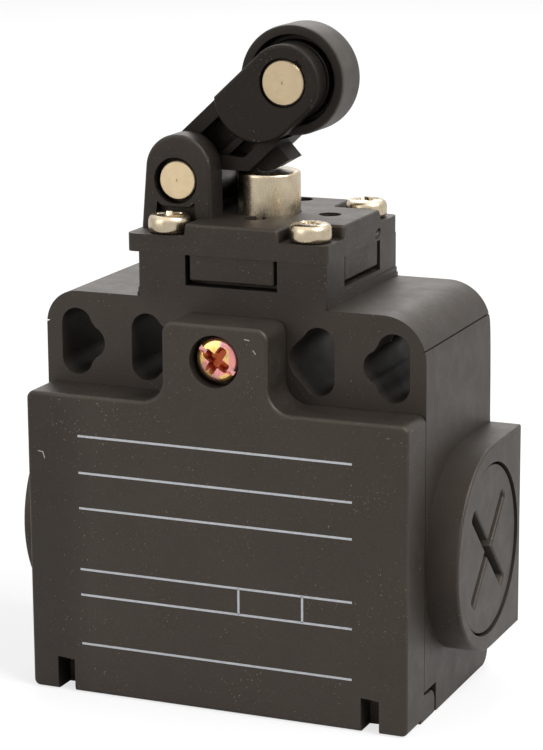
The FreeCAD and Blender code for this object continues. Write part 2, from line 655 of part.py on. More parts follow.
def nose():
    """Block under the arm whose rounded foot rides on the plunger."""
    d, half = NOSE_D / 2, ARM_HALF_W
    centre = V(NOSE_X, -d, PLUNGER_TOP + NOSE_GAP + NOSE_R)
    heel, tip = along(NOSE_FROM - 0.6, -half + 1, -d), along(NOSE_TO, -half + 1, -d)
    toe = along(NOSE_TO, -half - NOSE_DROP, -d)
    block = prism([heel, tip, toe, centre + V(NOSE_R * 0.6, 0, -NOSE_R * 0.8), centre + V(-NOSE_R * 0.6, 0, -NOSE_R * 0.8)],
                  V(0, NOSE_D, 0))
    return fuse([block, rod(NOSE_R, centre, centre + Y * NOSE_D)])


def lever_arm():
    arm = cut(arm_body(), [side_pocket(-1), side_pocket(1)])
    lever = fuse([arm, nose(), fork_cheek(-1), fork_cheek(1)])
    half = BUSH_L / 2
    bush_seat = rod(BUSH_R + PIN_FIT, V(PIVOT_X, -half, PIVOT_Z), V(PIVOT_X, half, PIVOT_Z))
    under = box(PIVOT_X, PIVOT_X + BUSH_R + 0.8, -half, half, PLATFORM_Z - 1, lowest_arm_z())
    pin_hole = rod(PIN_R + RUNNING_GAP, V(PIVOT_X, -ARM_D, PIVOT_Z), V(PIVOT_X, ARM_D, PIVOT_Z))
    return cut(lever, [bush_seat, under, pin_hole])


def pivot_bush():
    half = BUSH_L / 2 - 0.02
    return ring(BUSH_R, PIN_R + RUNNING_GAP, V(PIVOT_X, -half, PIVOT_Z), V(PIVOT_X, half, PIVOT_Z))


# Roller and its axle

def roller():
    half, r, e = ROLLER_W / 2, ROLLER_R, ROLLER_EDGE_R
    hub, sink, recess, bore = ROLLER_HUB_R, ROLLER_HUB_SINK, ROLLER_RECESS, AXLE_R + RUNNING_GAP
    inner = r - ROLLER_RIM
    right = [(bore, half - sink), (hub, half - sink), (hub, half - recess), (inner, half - recess), (inner, half),
             (r - e, half), (r, half - e)]
    left = [(x, -y) for x, y in reversed(right)]
    points = [V(x, y, 0) for x, y in right + left]
    wheel = flat_face(points).revolve(V(0, 0, 0), Y, 360)
    wheel.translate(axle_point())
    return wheel


def roller_axle():
    end = ROLLER_W / 2 + CHEEK_GAP + CHEEK_T - AXLE_SINK
    return rod(AXLE_R, axle_point(-end), axle_point(end))


# Plunger group

def plunger():
    head = rod(PLUNGER_R, V(0, 0, FLANGE_TOP - FLANGE_T), V(0, 0, PLUNGER_TOP))
    head = head.makeFillet(PLUNGER_EDGE_R, edges_where(head, lambda e: flat_in(e, "Z", PLUNGER_TOP)))
    flange = rod(FLANGE_R, V(0, 0, FLANGE_TOP - FLANGE_T), V(0, 0, FLANGE_TOP))
    return fuse([head, flange, rod(STEM_R, V(0, 0, BLOCK_Z1), V(0, 0, FLANGE_TOP - FLANGE_T))])


def plunger_seal():
    """Lip ring round the plunger, in the head's underside."""
    z0, z1, inner, outer = NECK_TOP + 0.1, NECK_TOP + SEAL_T, PLUNGER_R + RUNNING_GAP, PLUNGER_R + SEAL_W
    points = [V(inner, 0, z1), V(outer, 0, z1), V(outer, 0, z0), V(outer - 0.6, 0, z0), V(outer - 0.8, 0, z1 - 0.6),
              V(inner + 0.5, 0, z1 - 0.6), V(inner + 0.1, 0, z0), V(inner, 0, z0 + 0.2)]
    return flat_face(points).revolve(V(0, 0, 0), Z, 360)


def return_spring():
    return coil(RETURN_COIL_R, RETURN_WIRE_R, RETURN_TURNS, WELL_FLOOR, FLANGE_TOP - FLANGE_T)


def head_gasket():
    return ring(WELL_R + HEAD_GASKET_W, WELL_R, V(0, 0, NECK_TOP - HEAD_GASKET_T), V(0, 0, NECK_TOP))


# Contact block

def bridge_z(kind):
    return CARRIER_Z0 + (NO_BRIDGE_UP if kind == "no" else NC_BRIDGE_UP)


def strip_z(kind):
    """Lower face of a fixed contact's strip."""
    if kind == "nc":
        return bridge_z("nc") + BRIDGE_T + 2 * RIVET_H + CONTACT_GAP
    return bridge_z("no") - STROKE - CONTACT_GAP - 2 * RIVET_H - STRIP_T


def chamber(kind):
    """Room in which a bridge travels."""
    half, w = BRIDGE_L / 2 + 0.6, CHANNEL_W / 2
    if kind == "nc":
        return box(-half, half, -w, w, bridge_z("nc") - STROKE - 0.6, strip_z("nc") + STRIP_T)
    return box(-half, half, -w, w, strip_z("no"), bridge_z("no") + BRIDGE_T + 0.8)


def pad_z(kind):
    return strip_z("nc") + STRIP_T - PAD_H if kind == "nc" else strip_z("no")


def terminal_seats():
    return [V(k * PAD_X, BLOCK_FRONT - STRIP_T - CLAMP_T, pad_z(kind) + PAD_H / 2) for kind in ("no", "nc") for k in SIDES]


def block_screw_seats():
    """Seats in the solid web between the two bridge chambers."""
    middle = (chamber("no").BoundBox.ZMax + chamber("nc").BoundBox.ZMin) / 2
    return [V(k * BLOCK_SCREW_X, BLOCK_FRONT, middle) for k in SIDES]


def contact_block():
    body = box(-BLOCK_W / 2, BLOCK_W / 2, BLOCK_FRONT, CAVITY_BACK, BLOCK_Z0, BLOCK_Z1)
    body = body.makeFillet(1.0, edges_where(body, lambda e: runs_along(e, Y)))
    w = CHANNEL_W / 2
    cuts = [box(-w, w, BLOCK_FRONT - 1, w, CHANNEL_FLOOR, BLOCK_Z1 + 1), chamber("no"), chamber("nc")]
    cuts += [box(-BRIDGE_L / 2 - 0.6, BRIDGE_L / 2 + 0.6, BLOCK_FRONT - 1, -w + 0.1, room.ZMin, room.ZMax)
             for room in (chamber("no").BoundBox, chamber("nc").BoundBox)]
    cuts += [contact_slot(kind, k) for kind in ("no", "nc") for k in SIDES]
    cuts += [screw_hole(TERMINAL_SCREW, s, -Y) for s in terminal_seats()]
    cuts += [screw_hole(BLOCK_SCREW, s, -Y) for s in block_screw_seats()]
    return cut(body, cuts)


def strip_plan(side, grow):
    """Plan of a fixed contact: a tongue under the bridge, and a foot that runs out to the pad."""
    tip, out = RIVET_X - RIVET_R - 0.2, PAD_X + PAD_W / 2
    pad_in, half = PAD_X - PAD_W / 2, BRIDGE_W / 2
    front = BLOCK_FRONT - STRIP_T
    plan = [(tip - grow, -half - grow), (pad_in - grow, -half - grow), (pad_in - grow, front - grow),
            (out + grow, front - grow), (out + grow, half + grow), (tip - grow, half + grow)]
    return [V(side * x, y, 0) for x, y in plan]


def contact_slot(kind, side):
    slot = prism(strip_plan(side, STRIP_REST), V(0, 0, STRIP_T))
    slot.translate(V(0, 0, strip_z(kind)))
    return slot


def fixed_contact(kind, side):
    """Folded strip with a rivet at its tongue and a tapped pad at the front."""
    z = strip_z(kind)
    strip = prism(strip_plan(side, 0), V(0, 0, STRIP_T))
    strip.translate(V(0, 0, z))
    x0, x1 = sorted((side * (PAD_X - PAD_W / 2), side * (PAD_X + PAD_W / 2)))
    pad = box(x0, x1, BLOCK_FRONT - STRIP_T, BLOCK_FRONT, pad_z(kind), pad_z(kind) + PAD_H)
    face = z if kind == "nc" else z + STRIP_T
    up = -RIVET_H if kind == "nc" else RIVET_H
    rivet = rod(RIVET_R, V(side * RIVET_X, 0, face), V(side * RIVET_X, 0, face + up))
    hole = rod(TERMINAL_SCREW[0] + TAP_GAP, V(side * PAD_X, BLOCK_FRONT - STRIP_T - 1, pad_z(kind) + PAD_H / 2),
               V(side * PAD_X, BLOCK_FRONT + 1, pad_z(kind) + PAD_H / 2))
    return fuse([strip, pad, rivet]).cut(hole)


def block_front():
    """Plate that closes the channel and the chambers between the terminals."""
    half = PAD_X - PAD_W / 2 - 0.3
    plate = box(-half, half, BLOCK_FRONT - BLOCK_FRONT_T, BLOCK_FRONT, BLOCK_Z0, BLOCK_Z1)
    plate = plate.makeFillet(0.5, edges_where(plate, lambda e: flat_in(e, "Y", BLOCK_FRONT - BLOCK_FRONT_T)))
    heads = [rod(BLOCK_SCREW[0] + 0.2, s + Y, s - Y * 3) for s in block_screw_seats()]
    return cut(plate, heads)


def contact_carrier():
    half = CARRIER_D / 2
    body = box(-half, half, -half, half, CARRIER_Z0, BLOCK_Z1)
    width = BRIDGE_W / 2 + BRIDGE_GAP
    windows = []
    for kind in ("no", "nc"):
        z = bridge_z(kind)
        low, high = (z, z + BRIDGE_T + CONTACT_SPRING_L) if kind == "no" else (z - CONTACT_SPRING_L, z + BRIDGE_T)
        windows.append(box(-half - 1, half + 1, -width, width, low, high))
    return cut(body, windows)


def bridge(kind):
    z = bridge_z(kind)
    plate = box(-BRIDGE_L / 2, BRIDGE_L / 2, -BRIDGE_W / 2, BRIDGE_W / 2, z, z + BRIDGE_T)
    plate = plate.makeFillet(1.0, edges_where(plate, lambda e: runs_along(e, Z)))
    low, high = (z - RIVET_H, z) if kind == "no" else (z + BRIDGE_T, z + BRIDGE_T + RIVET_H)
    rivets = [rod(RIVET_R, V(k * RIVET_X, 0, low), V(k * RIVET_X, 0, high)) for k in SIDES]
    return fuse([plate] + rivets)


def contact_spring(kind):
    z = bridge_z(kind)
    low = z + BRIDGE_T if kind == "no" else z - CONTACT_SPRING_L
    return coil(SMALL_COIL_R, SMALL_WIRE_R, SMALL_TURNS, low, low + CONTACT_SPRING_L)


def carrier_spring():
    return coil(SMALL_COIL_R * 1.2, SMALL_WIRE_R, SMALL_TURNS, CHANNEL_FLOOR, CARRIER_Z0)


def wire_clamps():
    """Square clamp plates between the terminal pads and the screw heads."""
    half = PAD_W / 2 - 0.4
    plates = []
    for seat in terminal_seats():
        plate = box(seat.x - half, seat.x + half, seat.y, seat.y + CLAMP_T, seat.z - half, seat.z + half)
        plates.append(plate.cut(rod(TERMINAL_SCREW[0] + 0.2, seat - Y, seat + Y * 3)))
    return plates


def main():
    os.makedirs("parts", exist_ok=True)
    save("housing", housing())
    save("front_cover", front_cover())
    save("cover_gasket", gasket_frame(GASKET_T))
    save("cover_screw", pan_screw(COVER_SCREW, cover_screw_seat(), -Y))
    for side, name in SIDE_NAMES.items():
        save("conduit_plug_" + name, conduit_plug(side))
        save("plug_seal_" + name, plug_seal(side))
        for kind in ("no", "nc"):
            save(kind + "_contact_" + name, fixed_contact(kind, side))
    save("head_plate", head_plate())
    save("head_gasket", head_gasket())
    save("head_screws", Part.makeCompound([pan_screw(HEAD_SCREW, s, Z) for s in head_screw_seats()]))
    save("pivot_pin", pivot_pin())
    save("pivot_bush", pivot_bush())
    save("lever_arm", lever_arm())
    save("roller", roller())
    save("roller_axle", roller_axle())
    save("plunger", plunger())
    save("plunger_seal", plunger_seal())
    save("return_spring", return_spring())
    save("contact_block", contact_block())
    save("block_front", block_front())
    seats = [s - Y * BLOCK_FRONT_T for s in block_screw_seats()]
    save("block_screws", Part.makeCompound([pan_screw(BLOCK_SCREW, s, -Y) for s in seats]))
    save("contact_carrier", contact_carrier())
    save("carrier_spring", carrier_spring())
    for kind in ("no", "nc"):
        save(kind + "_bridge", bridge(kind))
        save(kind + "_spring", contact_spring(kind))
    save("wire_clamps", Part.makeCompound(wire_clamps()))
    save("terminal_screws", Part.makeCompound([pan_screw(TERMINAL_SCREW, s, -Y) for s in terminal_seats()]))
    print("stroke", round(STROKE, 4), "mm, ratio", round(STROKE / SWING, 4), "mm per radian")


main()
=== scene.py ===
import json
import math

import bmesh
import bpy
from bpy.props import FloatProperty, FloatVectorProperty, PointerProperty
from mathutils import Matrix, Vector


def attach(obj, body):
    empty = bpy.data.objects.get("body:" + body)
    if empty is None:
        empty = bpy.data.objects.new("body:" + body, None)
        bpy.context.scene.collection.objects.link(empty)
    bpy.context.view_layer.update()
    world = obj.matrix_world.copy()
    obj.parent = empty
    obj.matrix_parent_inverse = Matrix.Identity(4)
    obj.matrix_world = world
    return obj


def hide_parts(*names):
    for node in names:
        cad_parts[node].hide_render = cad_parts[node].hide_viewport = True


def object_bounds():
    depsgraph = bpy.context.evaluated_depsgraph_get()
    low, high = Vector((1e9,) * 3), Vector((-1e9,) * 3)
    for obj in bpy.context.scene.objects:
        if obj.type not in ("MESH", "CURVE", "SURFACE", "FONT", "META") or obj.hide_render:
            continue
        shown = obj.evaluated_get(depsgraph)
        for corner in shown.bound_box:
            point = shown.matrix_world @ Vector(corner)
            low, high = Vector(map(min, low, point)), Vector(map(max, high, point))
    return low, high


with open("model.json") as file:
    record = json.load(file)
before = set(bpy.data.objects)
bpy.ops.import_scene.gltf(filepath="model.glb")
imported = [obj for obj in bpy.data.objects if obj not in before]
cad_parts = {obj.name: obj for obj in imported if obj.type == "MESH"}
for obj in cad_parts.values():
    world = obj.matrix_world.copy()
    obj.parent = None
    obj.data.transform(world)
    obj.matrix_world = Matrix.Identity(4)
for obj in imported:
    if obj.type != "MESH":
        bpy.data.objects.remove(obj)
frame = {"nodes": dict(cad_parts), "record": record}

bl_info = {
    "name": "Roller lever limit switch",
    "version": (1, 0, 0),
    "blender": (4, 5, 0),
    "location": "3D View > Sidebar > Limit switch",
    "description": "Models the visible pieces of a roller lever limit switch on its packed frame",
    "category": "Object",
}

CAD_BOX = [list(corner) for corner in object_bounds()]
MM = 0.001
X, Y, Z = Vector((1, 0, 0)), Vector((0, 1, 0)), Vector((0, 0, 1))
SIDES = (-1, 1)
CORNERS = [(i, j) for i in SIDES for j in SIDES]


# Sizes and colours that a user would change

def length(name, size, description):
    return FloatProperty(name=name, description=description, default=size * MM, unit="LENGTH", subtype="DISTANCE",
                         precision=5)


def angle(name, degrees, description):
    return FloatProperty(name=name, description=description, default=math.radians(degrees), subtype="ANGLE")


def colour(name, value, description):
    return FloatVectorProperty(name=name, description=description, default=value, size=3, min=0, max=1,
                               subtype="COLOR")


class CaseSizes(bpy.types.PropertyGroup):
    width: length("Width", 52.3, "Across the case's flat sides")
    depth: length("Depth", 25.0, "From the cover's seam to the back")
    wall: length("Wall", 2.2, "Thickness of the moulded walls")
    cavity_height: length("Cavity height", 36.0, "Height of the room for the contacts")
    shoulder: length("Shoulder height", 52.1, "Height of the shoulders above the base")
    shoulder_radius: length("Shoulder radius", 5.75, "Rounding of the shoulders, seen from the front")
    neck_width: length("Neck width", 25.8, "Width of the square neck")
    neck_top: length("Neck top", 57.85, "Height of the neck's top above the base")
    slot_inner: length("Inner slots", 11.84, "Distance of the inner fixing slots from the middle")
    slot_outer: length("Outer slots", 21.84, "Distance of the outer fixing slots from the middle")
    slot_height: length("Slot height", 45.45, "Height of the fixing slots' centres")
    slot_width: length("Slot width", 4.3, "Width of a fixing slot")
    slot_length: length("Slot length", 8.8, "Length of a fixing slot")
    slot_bulge: length("Slot bulge", 1.85, "Offset of the round bulge in a fixing slot")
    boss_reach: length("Boss reach", 30.5, "Distance of the conduit bosses' faces from the middle")
    boss_radius: length("Boss radius", 13.55, "Radius of the conduit bosses' round front")
    boss_height: length("Boss height", 19.75, "Height of the conduit entries")
    edge: length("Edge", 0.17, "Rounding of the moulded edges")
    ledge: length("Ledge", 48.0, "Height where the side panels end below the shoulders")


class CoverSizes(bpy.types.PropertyGroup):
    depth: length("Depth", 6.23, "Thickness of the cover")
    seam: length("Seam", 0.15, "Gap between cover and case")
    shoulder: length("Shoulder", 39.95, "Height of the cover's shoulders")
    tab_width: length("Tab width", 14.4, "Width of the screw tab")
    tab_shift: length("Tab shift", 0.4, "Offset of the tab and its screw to the right")
    tab_top: length("Tab top", 50.5, "Height of the screw tab")
    screw_height: length("Screw height", 45.9, "Height of the cover screw above the base")
    edge: length("Edge", 0.5, "Rounding of the front edge")
    rule_width: length("Rule width", 0.29, "Width of the printed rules")
    rule_reach: length("Rule reach", 18.82, "Half the length of the printed rules")
    notch: length("Notch", 2.45, "Width of the notches in the lower edge")


class LeverSizes(bpy.types.PropertyGroup):
    pivot_x: length("Pivot X", -9.6, "Pivot's place across the case")
    pivot_z: length("Pivot height", 66.4, "Pivot's height above the base")
    length: length("Length", 19.0, "From the pivot to the roller's axle")
    tilt: angle("Tilt", 42.5, "Angle of the arm above level, at rest")
    half_width: length("Half width", 4.85, "Half the arm's height across its own line")
    depth: length("Depth", 8.2, "Thickness of the arm at the pivot")
    roller_radius: length("Roller radius", 7.05, "Radius of the roller's tread")
    roller_width: length("Roller width", 6.0, "Width of the roller")
    axle_radius: length("Axle radius", 2.85, "Radius of the roller's axle")
    pin_radius: length("Pin radius", 2.5, "Radius of the lever's pin")
    plunger_radius: length("Plunger radius", 4.1, "Radius of the plunger")
    plunger_top: length("Plunger top", 67.2, "Height of the plunger's top at rest")


class FinishColours(bpy.types.PropertyGroup):
    plastic: colour("Moulded plastic", (0.0088, 0.0068, 0.0053), "Black plastic of case, cover and head")
    plastic_deep: colour("Deep plastic", (0.0035, 0.0028, 0.0022), "Darker, smoother plastic of lever and roller")
    plastic_worn: colour("Rubbed plastic", (0.021, 0.0172, 0.014), "Paler bloom on rubbed or dusty plastic")
    tread: colour("Roller tread", (0.045, 0.041, 0.036), "Worn grey of the roller's tread")
    ink: colour("Printed rules", (0.37, 0.38, 0.4), "Pale ink of the rules on the cover")
    nickel: colour("Nickel", (0.5, 0.42, 0.3), "Bright nickel on screws and plunger")
    pin: colour("Pin ends", (0.52, 0.41, 0.26), "Warm cut ends of pin and axle")
    gold: colour("Yellow passivation", (0.78, 0.5, 0.16), "Main tint of the cover's screw")
    rose: colour("Rose passivation", (0.75, 0.3, 0.28), "Pink tint of the cover's screw")
    olive: colour("Olive passivation", (0.3, 0.4, 0.14), "Green tint of the cover's screw")


# Node trees of the finishes

class Finish:
    """Node tree of one material, with a short call for each kind of node."""

    def __init__(self, name):
        self.material = bpy.data.materials.new(name)
        self.material.use_nodes = True
        self.tree = self.material.node_tree
        self.tree.nodes.clear()
        self.where = self.node("TexCoord").outputs["Object"]

    def node(self, kind, inputs=(), **settings):
        made = self.tree.nodes.new("ShaderNode" + kind)
        for name, value in settings.items():
            setattr(made, name, value)
        for socket, value in dict(inputs).items():
            if isinstance(value, bpy.types.NodeSocket):
                self.tree.links.new(value, made.inputs[socket])
            else:
                made.inputs[socket].default_value = value
        return made

    def placed(self, centre=(0, 0, 0), turn=(0, 0, 0), scale=(1, 1, 1)):
        """Object coordinates seen from a centre, turned and stretched."""
        moved = self.node("Mapping", {"Vector": self.where, "Location": [-c for c in centre]}).outputs[0]
        return self.node("Mapping", {"Vector": moved, "Rotation": turn, "Scale": scale}).outputs[0]

    def noise(self, scale, detail=3.0, rough=0.5, where=None, warp=0.0):
        made = self.node("TexNoise", {"Vector": where or self.where, "Scale": scale, "Detail": detail,
                                      "Roughness": rough, "Distortion": warp})
        return made.outputs["Fac"]

    def cells(self, scale, where=None):
        made = self.node("TexVoronoi", {"Vector": where or self.where, "Scale": scale})
        return made.outputs["Distance"]

    def curve(self, value, low, high, from_low=0.0, from_high=1.0):
        made = self.node("MapRange", {"Value": value, "From Min": from_low, "From Max": from_high,
                                      "To Min": low, "To Max": high})
        return made.outputs["Result"]

    def maths(self, kind, a, b=0.0):
        return self.node("Math", {0: a, 1: b}, operation=kind).outputs[0]

    def blend(self, share, a, b, kind="MIX"):
        made = self.node("Mix", data_type="RGBA", blend_type=kind)
        for socket, value in ((0, share), (6, a), (7, b)):
            if isinstance(value, bpy.types.NodeSocket):
                self.tree.links.new(value, made.inputs[socket])
            elif socket == 0:
                made.inputs[socket].default_value = value
            else:
                made.inputs[socket].default_value = (*value, 1)
        return made.outputs[2]

    def away(self, centre):
        return self.node("VectorMath", {0: self.where, 1: centre}, operation="DISTANCE").outputs["Value"]

    def stroke(self, begin, end, width):
        """Full along a thin line between two points, seen along Y."""
        begin, line = Vector((begin[0], 0, begin[1])), Vector((end[0] - begin[0], 0, end[1] - begin[1]))
        flat = self.node("VectorMath", {0: self.where, 1: (1, 0, 1)}, operation="MULTIPLY").outputs[0]
        reach = self.node("VectorMath", {0: flat, 1: begin}, operation="SUBTRACT").outputs[0]
        along = line / line.length_squared
        share = self.node("VectorMath", {0: reach, 1: along}, operation="DOT_PRODUCT").outputs["Value"]
        foot = self.node("VectorMath", {0: line, "Scale": self.curve(share, 0, 1)}, operation="SCALE").outputs[0]
        away = self.node("VectorMath", {0: reach, 1: foot}, operation="DISTANCE").outputs["Value"]
        return self.curve(away, 1, 0, width * 0.35, width)

    def bump(self, height, distance, strength=1.0, under=None):
        inputs = {"Height": height, "Distance": distance, "Strength": strength}
        if under:
            inputs["Normal"] = under
        return self.node("Bump", inputs).outputs[0]

    def surface(self, colour, rough, normal=None, **constants):
        shader = self.node("BsdfPrincipled")
        for socket, value in (("Base Color", colour), ("Roughness", rough), ("Normal", normal)):
            if isinstance(value, bpy.types.NodeSocket):
                self.tree.links.new(value, shader.inputs[socket])
            elif value is not None:
                shader.inputs[socket].default_value = (*value, 1) if socket == "Base Color" else value
        for name, value in constants.items():
            shader.inputs[name.replace("_", " ")].default_value = value
        self.node("OutputMaterial", {"Surface": shader.outputs[0]})
        return self.material


WARM = (1.0, 0.85, 0.74, 1.0)


def moulded_plastic(name, base, worn, specular=0.4, bloom=0.35, dusty=(), painted_shade=(), scratches=()):
    """Glass-filled black plastic: speckled grain, a cloudy bloom, dust, a few scratches and painted shade round given
    spots.
    """
    paint = Finish(name)
    body = paint.blend(paint.curve(paint.noise(70, 5, 0.6), 0, bloom, 0.4, 0.75), base, worn)
    grain = paint.noise(5200, 2, 0.7)
    body = paint.blend(paint.curve(grain, 0, 0.8, 0.55, 0.75), body, [c * 1.6 for c in worn])
    # Painted shade: round each given spot the colour darkens to a tenth of the base, standing in for shade that falls
    # there.
    for centre, reach in painted_shade:
        body = paint.blend(paint.curve(paint.away(centre), 0.9, 0, 0.5 * reach, reach), body, [c * 0.1 for c in base])
    gathered = paint.curve(paint.noise(150, 4, 0.7), 0, 0.9, 0.42, 0.7)
    for centre, reach in dusty:
        gathered = paint.maths("MAXIMUM", gathered, paint.curve(paint.away(centre), 1, 0, 0.3 * reach, reach))
    for scale, reach in ((900, 0.09), (1700, 0.15), (3400, 0.2)):
        speck = paint.curve(paint.cells(scale), 1, 0, reach * 0.6, reach)
        chosen = paint.maths("GREATER_THAN", paint.noise(scale * 0.7, 1, 0.3), 0.57)
        share = paint.maths("MULTIPLY", paint.maths("MULTIPLY", speck, chosen), gathered)
        body = paint.blend(share, body, (0.2, 0.16, 0.118))
    for begin, end in scratches:
        body = paint.blend(paint.stroke(begin, end, 0.09 * MM), body, (0.3, 0.27, 0.23))
    rough = paint.curve(paint.noise(300, 3, 0.6), 0.5, 0.58, 0.35, 0.65)
    normal = paint.bump(grain, 0.03 * MM, 0.7)
    return paint.surface(body, rough, normal, Specular_IOR_Level=specular, Specular_Tint=WARM)


def roller_plastic(colours, axle):
    """Moulded roller, rubbed grey on the tread with fine lines round it."""
    paint = Finish("roller_plastic")
    local = paint.placed(centre=axle)
    split = paint.node("SeparateXYZ", {0: local})
    across = paint.node("CombineXYZ", {0: split.outputs[0], 1: split.outputs[2]}).outputs[0]
    radius = paint.node("VectorMath", {0: across}, operation="LENGTH").outputs["Value"]
    rings = paint.node("CombineXYZ", {0: radius, 1: split.outputs[1]}).outputs[0]
    lines = paint.noise(2600, 4, 0.7, rings)
    worn = paint.curve(radius, 0, 1, 6.75 * MM, 7.0 * MM)
    patches = paint.curve(paint.noise(260, 5, 0.65), 0.45, 1.0, 0.35, 0.65)
    share = paint.maths("MULTIPLY", worn, patches)
    body = paint.blend(share, colours.plastic_deep, colours.tread)
    ground = paint.maths("MULTIPLY", paint.curve(lines, 0, 0.5, 0.5, 0.75), worn)
    body = paint.blend(ground, body, (0.09, 0.08, 0.07))
    normal = paint.bump(lines, 0.03 * MM, 0.6)
    normal = paint.bump(paint.noise(2400, 3), 0.02 * MM, 0.4, normal)
    return paint.surface(body, paint.curve(lines, 0.42, 0.58), normal, Specular_IOR_Level=0.22, Specular_Tint=WARM)


def plated(name, tint, rough=0.24, scratch=0.5):
    """Bright plating with soft ripples, hairline scratches and a few pits."""
    paint = Finish(name)
    hair = paint.noise(1, 6, 0.7, paint.placed(turn=(0.4, 0.3, 0.6), scale=(5200, 260, 900)))
    cloud = paint.noise(420, 4, 0.6)
    pits = paint.maths("LESS_THAN", paint.cells(1300), 0.1)
    few = paint.maths("MULTIPLY", pits, paint.maths("GREATER_THAN", paint.noise(500, 2), 0.6))
    dull = [c * 0.62 for c in tint]
    body = paint.blend(paint.curve(cloud, 0, 0.6, 0.4, 0.7), tint, dull)
    body = paint.blend(few, body, [c * 0.25 for c in tint])
    gloss = paint.curve(hair, rough - 0.06, rough + 0.14, 0.3, 0.7)
    normal = paint.bump(hair, 0.01 * MM, scratch)
    normal = paint.bump(paint.noise(600, 3), 0.03 * MM, 0.3, normal)
    return paint.surface(body, gloss, normal, Metallic=1.0)


def turned_end(tint, name, centre):
    """Cut end of a pin: faint turning rings and a warm tone."""
    paint = Finish(name)
    split = paint.node("SeparateXYZ", {0: paint.placed(centre=centre)})
    across = paint.node("CombineXYZ", {0: split.outputs[0], 1: split.outputs[2]}).outputs[0]
    radius = paint.node("VectorMath", {0: across}, operation="LENGTH").outputs["Value"]
    ring = paint.noise(1, 5, 0.7, paint.node("CombineXYZ", {0: paint.maths("MULTIPLY", radius, 6500)}).outputs[0])
    cloud = paint.noise(700, 3, 0.6)
    pale = [c * 1.16 for c in tint]
    body = paint.blend(paint.curve(ring, 0, 0.8, 0.35, 0.7), tint, pale)
    body = paint.blend(paint.curve(cloud, 0, 0.25, 0.45, 0.75), body, [c * 0.6 for c in tint])
    normal = paint.bump(ring, 0.012 * MM, 0.35)
    return paint.surface(body, paint.curve(cloud, 0.36, 0.5), normal, Metallic=0.85)


def passivated(colours, centre, turn):
    """Yellow-passivated zinc: drifting tints, painted shade on the head's lower left, a rose driver slot and rust
    down in the cross.
    """
    paint = Finish("passivated_steel")
    drift = paint.noise(430, 3, 0.55, warp=0.6)
    other = paint.noise(640, 3, 0.55, paint.placed(centre=(3 * MM, 7 * MM, 2 * MM)))
    body = paint.blend(paint.curve(drift, 0, 1, 0.46, 0.56), colours.gold, colours.rose)
    body = paint.blend(paint.curve(other, 0, 0.8, 0.62, 0.7), body, colours.olive)
    body = paint.blend(paint.curve(other, 0, 0.8, 0.42, 0.32), body, (0.42, 0.22, 0.36))
    # Painted shade: the head darkens towards its lower left, the side that the light misses.
    split = paint.node("SeparateXYZ", {0: paint.placed(centre=centre)})
    low = paint.maths("ADD", split.outputs[0], split.outputs[2])
    body = paint.blend(paint.curve(low, 0.85, 0, -3.6 * MM, -1.2 * MM), body, (0.1, 0.1, 0.03))
    slot = paint.node("SeparateXYZ", {0: paint.placed(centre=centre, turn=(0, turn, 0))})
    inside = paint.curve(paint.maths("ABSOLUTE", slot.outputs[2]), 1, 0, 0.3 * MM, 0.42 * MM)
    sunk = paint.curve(slot.outputs[1], 0, 1, 0.3 * MM, 0.45 * MM)
    body = paint.blend(paint.maths("MULTIPLY", inside, sunk), body, (0.72, 0.36, 0.34))
    deep = paint.curve(slot.outputs[1], 0, 1, 0.55 * MM, 0.9 * MM)
    radius = paint.away(centre)
    cross = paint.maths("MULTIPLY", deep, paint.curve(radius, 1, 0, 2.1 * MM, 2.3 * MM))
    body = paint.blend(cross, body, (0.33, 0.07, 0.025))
    grime = paint.curve(paint.noise(1500, 4), 0, 0.5, 0.55, 0.75)
    body = paint.blend(grime, body, (0.16, 0.05, 0.03))
    normal = paint.bump(paint.noise(900, 4), 0.03 * MM, 0.3)
    return paint.surface(body, paint.curve(drift, 0.18, 0.34), normal, Metallic=0.92)


def plain_plastic(name, tint, rough=0.45):
    """Moulded insulating part with faint flow marks."""
    paint = Finish(name)
    flow = paint.noise(1, 4, 0.6, paint.placed(scale=(300, 300, 120)))
    body = paint.blend(paint.curve(flow, 0, 0.5, 0.35, 0.7), tint, [c * 0.78 for c in tint])
    normal = paint.bump(paint.noise(1800, 3), 0.02 * MM, 0.4)
    return paint.surface(body, paint.curve(flow, rough - 0.06, rough + 0.08), normal)


def seal_rubber():
    """Black rubber with a dull, faintly mottled skin."""
    paint = Finish("seal_rubber")
    mottle = paint.noise(1400, 4, 0.65)
    body = paint.blend(paint.curve(mottle, 0, 0.7, 0.4, 0.75), (0.016, 0.016, 0.016), (0.05, 0.048, 0.045))
    return paint.surface(body, paint.curve(mottle, 0.6, 0.78), paint.bump(mottle, 0.02 * MM, 0.5))


def printing_ink(colours):
    """Pad-printed ink, thinner in places."""
    paint = Finish("printing_ink")
    worn = paint.noise(1700, 5, 0.7)
    body = paint.blend(paint.curve(worn, 0, 0.45, 0.45, 0.75), colours.ink, [c * 0.45 for c in colours.ink])
    return paint.surface(body, paint.curve(worn, 0.5, 0.65), paint.bump(worn, 0.01 * MM, 0.3))


# Ends of the scratches on the cover, as x, z and x, z in millimetres
COVER_SCRATCHES = [(-24.55, 32.1, -23.9, 32.0), (-23.9, 32.0, -23.65, 31.2), (5.75, 47.75, 6.05, 47.35),
                   (4.6, 49.1, 5.2, 49.0)]
SLOT_TURN = math.radians(-34)       # turn of the cover screw's slot
SCREW_OUT = 9.7 * MM                # distance of the head screws from the plunger's axis, both ways
PIN_EDGE = 0.12 * MM                # chamfer on the ends of pin and axle


def screw_top(case, cover):
    """Top of the cover screw's head."""
    return Vector((cover.tab_shift, -case.depth / 2 - cover.seam - cover.depth + 0.6 * MM, cover.screw_height))


def spots(*rows):
    """Round areas from rows of x, y, z and reach in millimetres."""
    return [((x * MM, y * MM, z * MM), reach * MM) for x, y, z, reach in rows]


